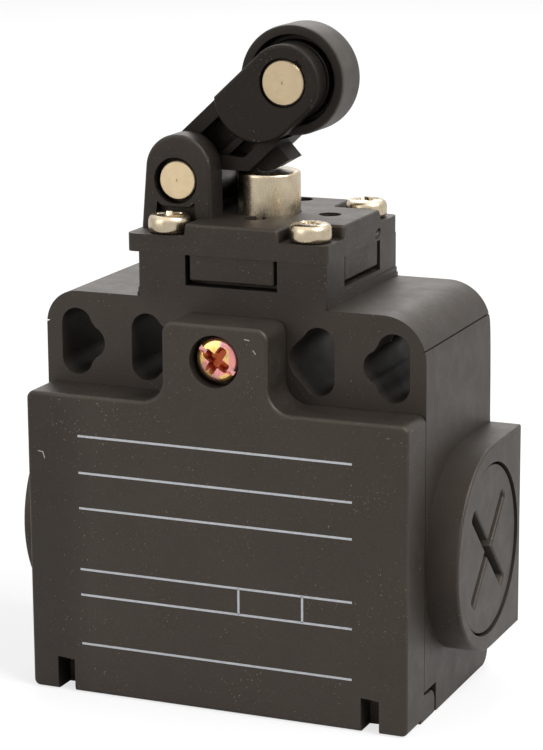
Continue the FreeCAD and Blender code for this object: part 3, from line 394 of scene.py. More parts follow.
def make_finishes(scene):
    colours = scene.switch_colours
    lever = scene.switch_lever
    pin_centre = Vector((lever.pivot_x, 0, lever.pivot_z))
    axle = arm_point(lever, lever.length, 0)
    scratches = [((x0 * MM, z0 * MM), (x1 * MM, z1 * MM)) for x0, z0, x1, z1 in COVER_SCRATCHES]
    return {
        "black_plastic": moulded_plastic(
            "moulded_plastic", colours.plastic, colours.plastic_worn, 0.45,
            dusty=spots((14, -5, 53.5, 7), (24, -4, 53, 7), (-22, -6, 54, 9), (19.7, -6, 48, 2.4)),
            # painted shade darkens the neck's front under the head plate
            painted_shade=spots(*((x, -13, 56.5, 7) for x in (-9, 0, 9)))),
        "cover_plastic": moulded_plastic(
            "cover_plastic", colours.plastic, colours.plastic_worn, 0.47, dusty=spots((-16, -16, 40, 14)),
            # painted shade: a painted dark reflection down the cover's left strip
            painted_shade=spots(*((-26, -19, z, 9) for z in (2, 9, 16, 23, 30, 36))), scratches=scratches),
        "head_plastic": moulded_plastic(
            "head_plastic", colours.plastic, colours.plastic_worn, 0.38, dusty=spots((12, 0, 57, 9)),
            # painted shade darkens both ears, which stand in shadow
            painted_shade=spots((-9.6, -8, 65, 9), (-9.6, 8, 65, 9))),
        "lever_plastic": moulded_plastic("lever_plastic", colours.plastic_deep, colours.plastic, 0.2, 0.4),
        "roller_plastic": roller_plastic(colours, axle),
        "nickel_plated_steel": plated("nickel_plated_steel", tuple(colours.nickel)),
        "pin_steel": turned_end(tuple(colours.pin), "pin_steel", pin_centre),
        "axle_steel": turned_end([c * 0.74 for c in colours.pin], "axle_steel", axle),
        "passivated_steel": passivated(colours, screw_top(scene.switch_case, scene.switch_cover), SLOT_TURN),
        # painted shade: the pivot bush, nickel-plated steel, is tinted near black for the shade it sits in between
        # ear and plunger
        "bush_steel_painted_shade": plated("bush_steel_painted_shade", (0.09, 0.085, 0.08), 0.3),
        "zinc_plated_steel": plated("zinc_plated_steel", (0.6, 0.61, 0.62), 0.3),
        "seal_rubber": seal_rubber(),
        "spring_wire": plated("spring_wire", (0.46, 0.46, 0.45), 0.3),
        "block_plastic": plain_plastic("block_plastic", (0.5, 0.49, 0.45)),
        "carrier_plastic": plain_plastic("carrier_plastic", (0.72, 0.71, 0.66), 0.35),
        "contact_brass": plated("contact_brass", (0.7, 0.52, 0.24), 0.3),
        "printing_ink": printing_ink(colours),
    }


FINISHES = {}


# Modelling steps

def start():
    """Object mode with nothing selected."""
    if bpy.context.object and bpy.context.object.mode != "OBJECT":
        bpy.ops.object.mode_set(mode="OBJECT")
    bpy.ops.object.select_all(action="DESELECT")


def choose(*pieces):
    start()
    for piece in pieces:
        piece.select_set(True)
    bpy.context.view_layer.objects.active = pieces[0]


def settle(piece):
    """The object's place goes into its mesh."""
    choose(piece)
    bpy.ops.object.transform_apply(location=True, rotation=True, scale=True)
    return piece


def named(name):
    piece = bpy.context.object
    piece.name = piece.data.name = name
    return piece


def named_as(piece, name):
    piece.name = piece.data.name = name
    return piece


def block(name, low, high):
    start()
    low, high = Vector(low), Vector(high)
    bpy.ops.mesh.primitive_cube_add(size=1, location=(low + high) / 2)
    bpy.context.object.scale = high - low
    return settle(named(name))


def bar(name, radius, begin, end, sides=64):
    start()
    begin, end = Vector(begin), Vector(end)
    bpy.ops.mesh.primitive_cylinder_add(vertices=sides, radius=radius, depth=(end - begin).length,
                                        location=(begin + end) / 2)
    bpy.context.object.rotation_euler = (end - begin).to_track_quat("Z", "Y").to_euler()
    return settle(named(name))


def tidy_mesh():
    """In edit mode: doubles merged and faces turned outwards."""
    bpy.ops.mesh.select_all(action="SELECT")
    bpy.ops.mesh.remove_doubles(threshold=0.002 * MM)
    bpy.ops.mesh.normals_make_consistent(inside=False)


def drawn(name, outline, along):
    """Solid from an outline drawn point by point, filled and extruded."""
    start()
    bpy.ops.mesh.primitive_plane_add(size=MM, location=outline[0])
    piece = named(name)
    bpy.ops.object.transform_apply(location=True, rotation=True, scale=True)
    bpy.ops.object.mode_set(mode="EDIT")
    bpy.ops.mesh.select_mode(type="VERT")
    bpy.ops.mesh.select_all(action="SELECT")
    bpy.ops.mesh.merge(type="CENTER")
    for here, there in zip(outline, outline[1:]):
        bpy.ops.mesh.extrude_region_move(TRANSFORM_OT_translate={"value": there - here})
    bpy.ops.mesh.select_all(action="SELECT")
    bpy.ops.mesh.edge_face_add()
    bpy.ops.mesh.extrude_region_move(TRANSFORM_OT_translate={"value": along})
    tidy_mesh()
    bpy.ops.object.mode_set(mode="OBJECT")
    return piece


def turned(name, profile, foot, axis, steps=96, hollow=False):
    """Round piece from (radius, height) steps along an axis; a hollow one closes on its first step."""
    start()
    first = profile[0]
    bpy.ops.mesh.primitive_circle_add(vertices=steps, radius=first[0], location=(0, 0, first[1]),
                                      fill_type="NOTHING" if hollow else "NGON")
    piece = named(name)
    bpy.ops.object.transform_apply(location=True, rotation=True, scale=True)
    bpy.ops.object.mode_set(mode="EDIT")
    bpy.ops.mesh.select_all(action="SELECT")
    for (r0, z0), (r1, z1) in zip(profile, profile[1:] + (profile[:1] if hollow else [])):
        bpy.ops.mesh.extrude_region_move(TRANSFORM_OT_translate={"value": (0, 0, z1 - z0)})
        bpy.ops.transform.resize(value=(r1 / r0, r1 / r0, 1), center_override=(0, 0, z1))
    tidy_mesh()
    bpy.ops.object.mode_set(mode="OBJECT")
    piece.rotation_euler = Vector(axis).to_track_quat("Z", "Y").to_euler()
    piece.location = foot
    return settle(piece)


def rounded(corners, steps=8):
    """Closed outline in the XZ plane from (x, z, radius) corners, each rounded by its radius."""
    points = []
    count = len(corners)
    for i, (x, z, r) in enumerate(corners):
        here = Vector((x, 0, z))
        if r == 0:
            points.append(here)
            continue
        before = Vector((corners[i - 1][0], 0, corners[i - 1][1])) - here
        after = Vector((corners[(i + 1) % count][0], 0, corners[(i + 1) % count][1])) - here
        half = before.angle(after) / 2
        centre = here + (before.normalized() + after.normalized()).normalized() * (r / math.sin(half))
        a = here + before.normalized() * (r / math.tan(half)) - centre
        b = here + after.normalized() * (r / math.tan(half)) - centre
        whole = a.angle(b)
        for k in range(steps + 1):
            t = whole * k / steps
            points.append(centre + (a * math.sin(whole - t) + b * math.sin(t)) / math.sin(whole))
    return points


def swept(centre, radius, begin, end, steps):
    """Arc in the XZ plane between two angles in degrees."""
    angles = [math.radians(begin + (end - begin) * k / steps) for k in range(steps + 1)]
    return [Vector((centre[0] + radius * math.cos(a), 0, centre[1] + radius * math.sin(a))) for a in angles]


def lofted(name, rings):
    """Solid through a row of closed sections, bridged one to the next."""
    start()
    bpy.ops.mesh.primitive_plane_add(size=MM)
    piece = named(name)
    bpy.ops.object.mode_set(mode="EDIT")
    bpy.ops.mesh.select_all(action="SELECT")
    bpy.ops.mesh.delete(type="VERT")
    mesh = bmesh.from_edit_mesh(piece.data)
    loops = [[mesh.verts.new(p) for p in ring] for ring in rings]
    for loop in loops:
        for here, there in zip(loop, loop[1:] + loop[:1]):
            mesh.edges.new((here, there))
    bmesh.update_edit_mesh(piece.data)
    bpy.ops.mesh.select_all(action="SELECT")
    bpy.ops.mesh.bridge_edge_loops(type="SINGLE")
    bpy.ops.mesh.select_all(action="SELECT")
    bpy.ops.mesh.fill_holes(sides=0)
    tidy_mesh()
    bpy.ops.object.mode_set(mode="OBJECT")
    return piece


def at_depth(points, y):
    return [Vector((p.x, y, p.z)) for p in points]


def applied(piece, kind, **settings):
    choose(piece)
    modifier = piece.modifiers.new(kind.title(), kind)
    for name, value in settings.items():
        setattr(modifier, name, value)
    bpy.ops.object.modifier_apply(modifier=modifier.name)
    return piece


def joined(piece, other, how="UNION"):
    applied(piece, "BOOLEAN", object=other, operation=how, solver="EXACT")
    bpy.data.objects.remove(other)
    return piece


def carved(piece, *tools):
    for tool in tools:
        joined(piece, tool, "DIFFERENCE")
    return piece


def soften(piece, width, segments=2, limit=38):
    """Small rounding on the sharp edges; an edge that meets one too short for it stays as it is."""
    choose(piece)
    bpy.ops.object.mode_set(mode="EDIT")
    bpy.ops.mesh.select_mode(type="EDGE")
    bpy.ops.mesh.select_all(action="SELECT")
    bpy.ops.mesh.remove_doubles(threshold=0.01 * MM)
    bpy.ops.mesh.dissolve_degenerate(threshold=0.01 * MM)
    bpy.ops.mesh.delete_loose()
    bpy.ops.mesh.select_all(action="DESELECT")
    mesh = bmesh.from_edit_mesh(piece.data)
    for edge in mesh.edges:
        sharp = edge.is_manifold and edge.calc_face_angle() > math.radians(limit)
        edge.select = sharp and all(e.calc_length() > 2.2 * width for v in edge.verts for e in v.link_edges)
    mesh.select_flush_mode()
    bmesh.update_edit_mesh(piece.data)
    bpy.ops.mesh.bevel(offset=width, segments=segments, affect="EDGES", clamp_overlap=True)
    bpy.ops.object.mode_set(mode="OBJECT")
    return piece


def pick_edges(piece, test, along=None, slack=0.001):
    """Edit mode with the edges chosen whose both ends pass a test, and which run about along an axis."""
    choose(piece)
    bpy.ops.object.mode_set(mode="EDIT")
    bpy.ops.mesh.select_mode(type="EDGE")
    bpy.ops.mesh.select_all(action="DESELECT")
    mesh = bmesh.from_edit_mesh(piece.data)
    for edge in mesh.edges:
        line = (edge.verts[1].co - edge.verts[0].co).normalized()
        edge.select = all(test(v.co) for v in edge.verts) and (along is None or abs(line.dot(along)) > 1 - slack)
    mesh.select_flush_mode()
    bmesh.update_edit_mesh(piece.data)


def round_edges(piece, test, width, segments=4, along=None, slack=0.001):
    pick_edges(piece, test, along, slack)
    bpy.ops.mesh.bevel(offset=width, segments=segments, affect="EDGES", clamp_overlap=True)
    bpy.ops.object.mode_set(mode="OBJECT")
    return piece


def near(a, b):
    return abs(a - b) < 0.01 * MM


def finish(piece, finish_name, body, slot, *nodes, smooth=32):
    """Shading, material, body and the CAD nodes that the piece stands for."""
    choose(piece)
    bpy.ops.object.shade_smooth_by_angle(angle=math.radians(smooth))
    applied(piece, "WEIGHTED_NORMAL", keep_sharp=True)
    piece.data.materials.clear()
    piece.data.materials.append(FINISHES[finish_name])
    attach(piece, body)
    if nodes:
        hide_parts(*nodes)
    return piece


def copied(piece, name, place):
    """Own copy of a modelled piece, its mesh moved by a matrix."""
    other = piece.copy()
    other.data = piece.data.copy()
    other.data.transform(place)
    bpy.context.scene.collection.objects.link(other)
    return named_as(other, name)


def chip(centre, reach, turn=(0, 0, 0)):
    """Cutter for a broken spot: a coarse, uneven ball."""
    start()
    bpy.ops.mesh.primitive_ico_sphere_add(subdivisions=2, radius=1, location=centre, rotation=turn)
    bpy.context.object.scale = reach
    return settle(named("chip"))


# Places that several pieces share

def arm_point(lever, along, across, y=0.0):
    """A point on the lever's own line, measured from its pivot."""
    c, s = math.cos(lever.tilt), math.sin(lever.tilt)
    return Vector((lever.pivot_x + along * c - across * s, y, lever.pivot_z + along * s + across * c))


class SWITCH_OT_finishes(bpy.types.Operator):
    """Make the finishes and give one to every node of the frame"""
    bl_idname = "switch.finishes"
    bl_label = "Finishes"

    def execute(self, context):
        FINISHES.update(make_finishes(context.scene))
        slots = {part["node"]: part["material_slot"] for part in frame["record"]["subparts"]}
        for name, node in frame["nodes"].items():
            # the pivot bush takes the steel tinted dark with painted shade
            finish_name = {"roller_axle": "axle_steel", "head_plate": "head_plastic", "lever_arm": "lever_plastic",
                           "front_cover": "cover_plastic", "pivot_bush": "bush_steel_painted_shade"}.get(name, slots[name])
            node.data.materials.clear()
            node.data.materials.append(FINISHES[finish_name])
        return {"FINISHED"}


class SWITCH_OT_stage(bpy.types.Operator):
    """Lay the floor and set the lamps and the camera"""
    bl_idname = "switch.stage"
    bl_label = "Stage"

    def execute(self, context):
        start()
        bpy.ops.mesh.primitive_plane_add(size=3.0, location=(0, 0, CAD_BOX[0][2] - 0.1 * MM))
        floor = named("studio_floor")
        floor.data.materials.append(pale_floor())
        white_world(context.scene)
        context.scene.view_settings.view_transform = "Standard"
        lamp("key_lamp", (0.7, -0.15, 0.8), 0.6, 12.0)
        lamp("fill_lamp", (-0.5, -0.7, 0.35), 0.6, 2.5)
        lamp("back_lamp", (-0.3, 0.7, 0.7), 0.6, 4.0)
        photo_camera(context.scene)
        return {"FINISHED"}


def pale_floor():
    """Pale paper that the camera sees as white, and reflections too away from the object, with the object's shadow
    kept and painted shade round its foot.
    """
    paint = Finish("pale_floor")
    fibre = paint.noise(400, 4)
    paper = paint.node("BsdfDiffuse", {"Color": paint.blend(fibre, (0.86, 0.86, 0.86), (0.9, 0.9, 0.9))})
    glow = paint.node("Emission", {"Color": (1, 1, 1, 1), "Strength": 1.0})
    path = paint.node("LightPath")
    # Painted shade: for reflections the white glow fades out towards the object, darkening the floor round its foot.
    away = paint.node("VectorMath", {0: paint.where}, operation="LENGTH").outputs["Value"]
    reflected_glow_painted_shade = paint.maths("MULTIPLY", path.outputs["Is Glossy Ray"], paint.curve(away, 0.0, 0.8, 0.03, 0.16))
    share = paint.maths("ADD", paint.maths("MULTIPLY", path.outputs["Is Camera Ray"], 0.72), reflected_glow_painted_shade)
    both = paint.node("MixShader", {0: share, 1: paper.outputs[0], 2: glow.outputs[0]})
    paint.node("OutputMaterial", {"Surface": both.outputs[0]})
    return paint.material


def white_world(scene):
    world = bpy.data.worlds.new("studio_world")
    world.use_nodes = True
    scene.world = world
    nodes, links = world.node_tree.nodes, world.node_tree.links
    nodes.clear()
    path = nodes.new("ShaderNodeLightPath")
    seen = nodes.new("ShaderNodeMath")
    seen.operation = "MAXIMUM"
    links.new(path.outputs["Is Camera Ray"], seen.inputs[0])
    links.new(path.outputs["Is Transmission Ray"], seen.inputs[1])
    shiny = nodes.new("ShaderNodeMath")
    shiny.operation = "MAXIMUM"
    links.new(seen.outputs[0], shiny.inputs[0])
    links.new(path.outputs["Is Glossy Ray"], shiny.inputs[1])
    soft, white, both = (nodes.new("ShaderNode" + kind) for kind in ("Background", "Background", "MixShader"))
    soft.inputs["Color"].default_value = (1, 1, 1, 1)
    soft.inputs["Strength"].default_value = 0.45
    white.inputs["Color"].default_value = (1, 1, 1, 1)
    split = nodes.new("ShaderNodeSeparateXYZ")
    links.new(nodes.new("ShaderNodeTexCoord").outputs["Generated"], split.inputs[0])
    climb = nodes.new("ShaderNodeMapRange")
    for socket, value in (("From Min", 0.35), ("From Max", 0.8), ("To Min", 1.0), ("To Max", 2.0)):
        climb.inputs[socket].default_value = value
    links.new(split.outputs[2], climb.inputs["Value"])
    links.new(climb.outputs["Result"], white.inputs["Strength"])
    links.new(shiny.outputs[0], both.inputs[0])
    links.new(soft.outputs[0], both.inputs[1])
    links.new(white.outputs[0], both.inputs[2])
    links.new(both.outputs[0], nodes.new("ShaderNodeOutputWorld").inputs["Surface"])


def lamp(name, place, size, power):
    """Square soft lamp that faces the middle of the switch."""
    start()
    bpy.ops.object.light_add(type="AREA", location=place)
    made = bpy.context.object
    made.name = name
    made.data.size = size
    made.data.energy = power
    made.rotation_euler = (Vector(place) - Vector((0, 0, 0.04))).to_track_quat("Z", "Y").to_euler()


def photo_camera(scene):
    """Long lens from the front right, a little above."""
    azimuth, elevation, roll = (math.radians(a) for a in (23.096, 13.277, -0.372))
    right = Vector((math.cos(azimuth), math.sin(azimuth), 0))
    back = Vector((math.sin(azimuth) * math.cos(elevation), -math.cos(azimuth) * math.cos(elevation),
                   math.sin(elevation)))
    up = back.cross(right)
    turned_right = right * math.cos(roll) + up * math.sin(roll)
    turned_up = up * math.cos(roll) - right * math.sin(roll)
    start()
    bpy.ops.object.camera_add()
    camera = bpy.context.object
    camera.name = "photo_camera"
    camera.data.lens = 128.56
    camera.data.sensor_width = 36
    camera.data.clip_start = 0.01
    turn = Matrix((turned_right, turned_up, back)).transposed().to_4x4()
    place = Vector((0.143, 0, 40.076)) * MM + back * 350.808 * MM
    camera.matrix_world = Matrix.Translation(place) @ turn
    scene.camera = camera


class SWITCH_OT_cover(bpy.types.Operator):
    """Model the front cover and the rules printed on it"""
    bl_idname = "switch.cover"
    bl_label = "Front cover"

    def execute(self, context):
        case, cover = context.scene.switch_case, context.scene.switch_cover
        back = -case.depth / 2 - cover.seam
        front = back - cover.depth
        plate = cover_shell(case, cover, front, back)
        for side in SIDES:
            plate = joined(plate, hinge_lug(case, back, side))
        inner = case.width / 2 - case.wall - 1.0 * MM
        top = case.wall + case.cavity_height - 1.0 * MM
        seat = front + 2.5 * MM
        x, z = cover.tab_shift, cover.screw_height
        tools = [block("room", (-inner, front + 2 * MM, 5.6 * MM), (inner, back + MM, top)),
                 bar("recess", 3.35 * MM, (x, front - MM, z), (x, seat, z), 96),
                 bar("passage", 1.7 * MM, (x, seat - MM, z), (x, back + MM, z))]
        for side in SIDES:
            x0, x1 = sorted((side * 20 * MM, side * (20 * MM + cover.notch)))
            tools.append(block("notch", (x0, front - MM, -MM), (x1, front + 3.4 * MM, 4.4 * MM)))
        soften(carved(plate, *tools), 0.12 * MM, limit=50)
        finish(plate, "cover_plastic", "case", "black_plastic", "front_cover")
        printed_rules(cover, front)
        return {"FINISHED"}


def cover_shell(case, cover, front, back):
    """T-shaped plate with a rounded front edge."""
    side, tab, shift = case.width / 2, cover.tab_width / 2, cover.tab_shift
    steps = [(side, 0, 0.8 * MM), (side, cover.shoulder, 1.08 * MM)]
    neck = [(tab, cover.shoulder, 3.0 * MM), (tab, cover.tab_top, 1.6 * MM)]
    right = steps + [(shift + x, z, r) for x, z, r in neck]
    left = [(shift - x, z, r) for x, z, r in reversed(neck)] + [(-x, z, r) for x, z, r in reversed(steps)]
    outline = rounded(right + left)
    plate = drawn("cover", at_depth(outline, front), Y * (back - front))
    return round_edges(plate, lambda p: near(p.y, front), cover.edge)


def hinge_lug(case, back, side):
    """Lug that reaches back along the case's side."""
    x, end = side * (case.width / 2 - 1.3 * MM), -case.depth / 2 + 3.95 * MM
    start, top = back - MM, 3.4 * MM
    outline = rounded([(start, 0, 0), (end, 0, 0), (end, top, 1.8 * MM), (start, top, 0)])
    return drawn("lug", [Vector((x, p.x, p.z)) for p in outline], X * (side * 1.3 * MM))


def printed_rules(cover, front):
    """Thin ink lines on the cover's face: six long rules and two short uprights."""
    heights = [h * MM for h in (34.58, 29.71, 25.0, 16.81, 13.36, 6.72)]
    half, reach = cover.rule_width / 2, cover.rule_reach
    proud, sunk = front - 0.02 * MM, front + 0.05 * MM
    strips = [block("rule", (-reach, proud, z - half), (reach, sunk, z + half)) for z in heights]
    strips += [block("upright", (x - half, proud, heights[4]), (x + half, sunk, heights[3]))
               for x in (3.45 * MM, 12.15 * MM)]
    choose(*strips)
    bpy.ops.object.join()
    finish(named("printed_rules"), "printing_ink", "case", "black_plastic")


# Sections of the screw heads, as shares of their radius and height
PAN = [(0.8, 0), (0.93, 0.06), (0.99, 0.17), (1, 0.3), (1, 0.6), (0.975, 0.74), (0.92, 0.86), (0.82, 0.94),
       (0.6, 0.985), (0.2, 1)]
DOME = [(0.95, 0), (1, 0.06), (1, 0.42), (0.99, 0.56), (0.96, 0.68), (0.9, 0.79), (0.8, 0.88), (0.64, 0.945),
        (0.4, 0.985), (0.15, 1)]


def screw(name, head, shank, top, out, turn, form, cross, slotted=False):
    """Screw with a crossed recess: head and shank as (radius, length), cross as (length, width, depth)."""
    r, h = head
    s, reach = shank
    pitch = 0.6 * MM
    profile = [(s * 0.55, -reach), (s * 0.9, -reach + 0.5 * MM)]
    for k in range(int((reach - 2 * pitch) / pitch)):
        z = -reach + pitch + k * pitch
        profile += [(s, z), (s * 0.84, z + pitch / 2)]
    profile += [(s, -pitch / 2), (s, 0)] + [(r * a, h * b) for a, b in form]
    piece = turned(name, profile, Vector(top) - Vector(out) * h, out, 72)
    span, width, depth = cross
    for k in (0, 1):
        arm_turn = turn + k * math.pi / 2
        piece = carved(piece, tapered_slot(top, out, (span, width), depth, arm_turn, (0.6, 0.75), 0.35 * width))
    if slotted:
        piece = carved(piece, tapered_slot(top, out, (r * 2.2, 0.72 * MM), 0.5 * MM, turn, (1, 0.9)))
    return soften(piece, 0.05 * MM, limit=50)


def tapered_slot(top, out, size, depth, turn, taper, round_end=0.0):
    """Cutter for a driver slot, sunk from a top face along its outward axis."""
    start()
    over = 0.06 * MM
    bpy.ops.mesh.primitive_cube_add(size=1, location=(0, 0, (over - depth) / 2))
    slot = bpy.context.object
    slot.scale = (size[0], size[1], depth + over)
    settle(slot)
    pick_edges(slot, lambda p: p.z < 0)
    bpy.ops.transform.resize(value=(*taper, 1), center_override=(0, 0, -depth))
    bpy.ops.object.mode_set(mode="OBJECT")
    if round_end:
        round_edges(slot, lambda p: True, round_end, along=Z, slack=0.6)
    slot.rotation_euler = (Vector(out).to_track_quat("Z", "Y").to_matrix() @ Matrix.Rotation(turn, 3, "Z")).to_euler()
    slot.location = top
    return settle(slot)


class SWITCH_OT_screws(bpy.types.Operator):
    """Model the cover's screw and the four screws of the head"""
    bl_idname = "switch.screws"
    bl_label = "Screws"

    def execute(self, context):
        case, cover = context.scene.switch_case, context.scene.switch_cover
        piece = screw("cover_screw_head", (3.0 * MM, 1.9 * MM), (1.5 * MM, 6.4 * MM), screw_top(case, cover), -Y,
                      SLOT_TURN, DOME, (4.2 * MM, 1.3 * MM, 1.4 * MM), True)
        finish(piece, "passivated_steel", "case", "passivated_steel", "cover_screw")
        pattern = screw("pattern", (2.7 * MM, 2.4 * MM), (1.5 * MM, 8.0 * MM), (0, 0, 0), Z, math.radians(20),
                        PAN, (3.5 * MM, 1.05 * MM, 1.35 * MM))
        top = case.neck_top + 4.7 * MM
        turns = {(-1, -1): 8, (1, -1): 42, (-1, 1): -5, (1, 1): 20}
        for n, (i, j) in enumerate(CORNERS):
            turn = Matrix.Rotation(math.radians(turns[i, j]), 4, "Z")
            place = Matrix.Translation((i * SCREW_OUT, j * SCREW_OUT, top)) @ turn
            finish(copied(pattern, "head_screw_%d" % (n + 1), place), "nickel_plated_steel", "case",
                   "nickel_plated_steel", "head_screws")
        bpy.data.objects.remove(pattern)
        return {"FINISHED"}


class SWITCH_OT_plugs(bpy.types.Operator):
    """Model the two blanking plugs with their crossed slots"""
    bl_idname = "switch.plugs"
    bl_label = "Blanking plugs"

    def execute(self, context):
        case = context.scene.switch_case
        right = blanking_plug(case, "blanking_plug_right")
        left = copied(right, "blanking_plug_left", Matrix.Rotation(math.pi, 4, "Z"))
        finish(right, "black_plastic", "case", "black_plastic", "conduit_plug_right")
        finish(left, "black_plastic", "case", "black_plastic", "conduit_plug_left")
        return {"FINISHED"}


def blanking_plug(case, name):
    """Threaded plug with a thin flange, hollow inside."""
    face, end = case.boss_reach - 0.25 * MM, case.width / 2 - case.wall + 0.3 * MM
    back = face - 2.1 * MM
    thread, flange = 9.95 * MM, 11.0 * MM
    core = thread - 0.5 * MM
    profile = [(core, end)]
    for k in range(3):
        profile += [(r, end + (step + k) * MM) for r, step in ((thread, 0.5), (thread, 0.75), (core, 1.0))]
    profile += [(thread, back - 0.2 * MM), (thread, back), (flange, back), (flange, face - 0.25 * MM),
                (flange - 0.08 * MM, face - 0.08 * MM), (flange - 0.25 * MM, face)]
    foot = Z * case.boss_height
    piece = turned(name, profile, foot, X, 128)
    hollow = bar("hollow", thread - case.wall, foot + X * (end - MM), foot + X * back)
    cross = [tapered_slot(foot + X * face, X, (17.0 * MM, 1.7 * MM), 1.7 * MM, math.radians(t), (0.95, 0.7), 0.4 * MM)
             for t in (45, 135)]
    piece = carved(piece, hollow, *cross)
    round_edges(piece, lambda p: near(p.x, face) and (p - foot).yz.length < 9 * MM, 0.3 * MM, 3)
    return soften(piece, 0.12 * MM, limit=50)


class SWITCH_OT_plunger(bpy.types.Operator):
    """Turn the plunger with its flange and stem"""
    bl_idname = "switch.plunger"
    bl_label = "Plunger"

    def execute(self, context):
        case, lever = context.scene.switch_case, context.scene.switch_lever
        r, top, flange = lever.plunger_radius, lever.plunger_top, case.neck_top - 0.1 * MM
        stem, wide, edge = 2.5 * MM, 6.1 * MM, 0.2 * MM
        under = flange - 1.4 * MM
        profile = [(stem - edge, 37.4 * MM), (stem, 37.6 * MM), (stem, under), (wide - edge, under),
                   (wide, under + edge), (wide, flange - edge), (wide - edge, flange), (r, flange)]
        for k in range(7):
            a = math.radians(15 * k)
            profile.append((r - 0.5 * MM * (1 - math.cos(a)), top - 0.5 * MM * (1 - math.sin(a))))
        profile += [(r * 0.5, top), (r * 0.2, top - 0.02 * MM)]
        piece = turned("plunger_pin", profile, (0, 0, 0), Z, 128)
        finish(piece, "nickel_plated_steel", "plunger_group", "nickel_plated_steel", "plunger")
        return {"FINISHED"}


class SWITCH_OT_roller(bpy.types.Operator):
    """Turn the roller, its axle and the lever's pin"""
    bl_idname = "switch.roller"
    bl_label = "Roller and pins"

    def execute(self, context):
        lever = context.scene.switch_lever
        centre = arm_point(lever, lever.length, 0)
        r, half, bore = lever.roller_radius, lever.roller_width / 2, lever.axle_radius + 0.06 * MM
        hub, inner, low = 4.95 * MM, r - 1.3 * MM, half - 1.7 * MM
        right = [(bore, half - 0.35 * MM), (hub - 0.15 * MM, half - 0.35 * MM), (hub, half - 0.5 * MM),
                 (hub + 0.1 * MM, low + 0.1 * MM), (hub + 0.2 * MM, low), (inner - 0.2 * MM, low),
                 (inner - 0.08 * MM, low + 0.12 * MM), (inner, half - 0.1 * MM), (inner + 0.1 * MM, half),
                 (r - 0.3 * MM, half), (r - 0.1 * MM, half - 0.08 * MM), (r - 0.03 * MM, half - 0.28 * MM),
                 (r, half - 0.7 * MM)]
        profile = right + [(x, -y) for x, y in reversed(right)]
        wheel = turned("roller_wheel", profile, centre, Y, 160, hollow=True)
        finish(wheel, "roller_plastic", "wheel", "roller_plastic", "roller")
        axle = plain_pin("axle_pin", lever.axle_radius, half + 2.85 * MM, centre)
        finish(axle, "axle_steel", "lever", "pin_steel", "roller_axle")
        pin = plain_pin("lever_pin", lever.pin_radius, 7.4 * MM, arm_point(lever, 0, 0))
        finish(pin, "pin_steel", "case", "pin_steel", "pivot_pin")
        return {"FINISHED"}


def plain_pin(name, radius, half, centre):
    """Pin along Y with chamfered ends and a small centre mark."""
    steps = [(radius - PIN_EDGE, -half), (radius, -half + PIN_EDGE), (radius, half - PIN_EDGE),
             (radius - PIN_EDGE, half), (0.2 * MM, half), (0.16 * MM, half - PIN_EDGE)]
    return turned(name, steps, centre, -Y, 96)


class SWITCH_OT_lever(bpy.types.Operator):
    """Model the forked lever arm with the nose that rides on the plunger"""
    bl_idname = "switch.lever"
    bl_label = "Lever arm"

    def execute(self, context):
        lever = context.scene.switch_lever
        pivot, foot, bush = arm_point(lever, 0, 0), lever.plunger_top + 0.35 * MM, 2.85 * MM
        arm = carved(arm_strip(lever, pivot, foot), arm_pocket(lever, foot, -1), arm_pocket(lever, foot, 1))
        arm = joined(arm, arm_nose(lever))
        for side in SIDES:
            arm = joined(arm, fork_cheek(lever, side))
        arm = carved(arm, bar("seat", 3.91 * MM, pivot - Y * bush, pivot + Y * bush),
                     block("under", (pivot.x, -bush, foot - 6 * MM), (pivot.x + 4.7 * MM, bush, foot)),
                     bar("pin_hole", lever.pin_radius + 0.06 * MM, pivot - Y * 9 * MM, pivot + Y * 9 * MM))
        soften(arm, 0.14 * MM)
        finish(named_as(arm, "lever_body"), "lever_plastic", "lever", "black_plastic", "lever_arm")
        return {"FINISHED"}


def on_arm(lever, points, y):
    """World points for an outline drawn along and across the arm."""
    return [arm_point(lever, p.x, p.z, y) for p in points]


def arm_strip(lever, pivot, foot):
    """Straight arm with a round hub, cut level under its foot and hollowed to clear the roller."""
    half, d, reach = lever.half_width, lever.depth / 2, lever.length
    corners = [Vector((x, 0, z)) for x, z in ((0, -half), (reach, -half), (reach, half), (0, half))]
    strip = drawn("lever", on_arm(lever, corners, -d), Y * lever.depth)
    axle = arm_point(lever, reach, 0)
    strip = carved(strip, block("foot", (pivot.x - reach, -d - MM, foot - 20 * MM), (pivot.x + reach, d + MM, foot)),
                   bar("clear", lever.roller_radius + 0.45 * MM, axle - Y * 9 * MM, axle + Y * 9 * MM, 96))
    return joined(strip, bar("hub", 4.2 * MM, pivot - Y * d, pivot + Y * d, 72))


def arm_pocket(lever, foot, side):
    """Cutter for a side pocket that leaves rails along both edges and a low rib."""
    floor, top, low = side * 1.3 * MM, lever.half_width - 1.9 * MM, -lever.half_width + 1.615 * MM
    corner = (foot + 1.71 * MM - lever.pivot_z - low * math.cos(lever.tilt)) / math.sin(lever.tilt)
    r = 0.5 * MM
    begin = 4.6 * MM
    outline = rounded([(begin, top, r), (10 * MM, top, r), (10.4 * MM, low, r), (corner, low, r), (begin, 0, r)])
    pocket = drawn("pocket", on_arm(lever, outline, floor), Y * (side * 4 * MM))
    rib = rounded([(0, -1.4 * MM, 0), (19 * MM, -1.4 * MM, 0), (19 * MM, -0.5 * MM, 0), (0, -0.5 * MM, 0)])
    return carved(pocket, drawn("rib", on_arm(lever, rib, floor - side * MM), Y * (side * 2.8 * MM)))


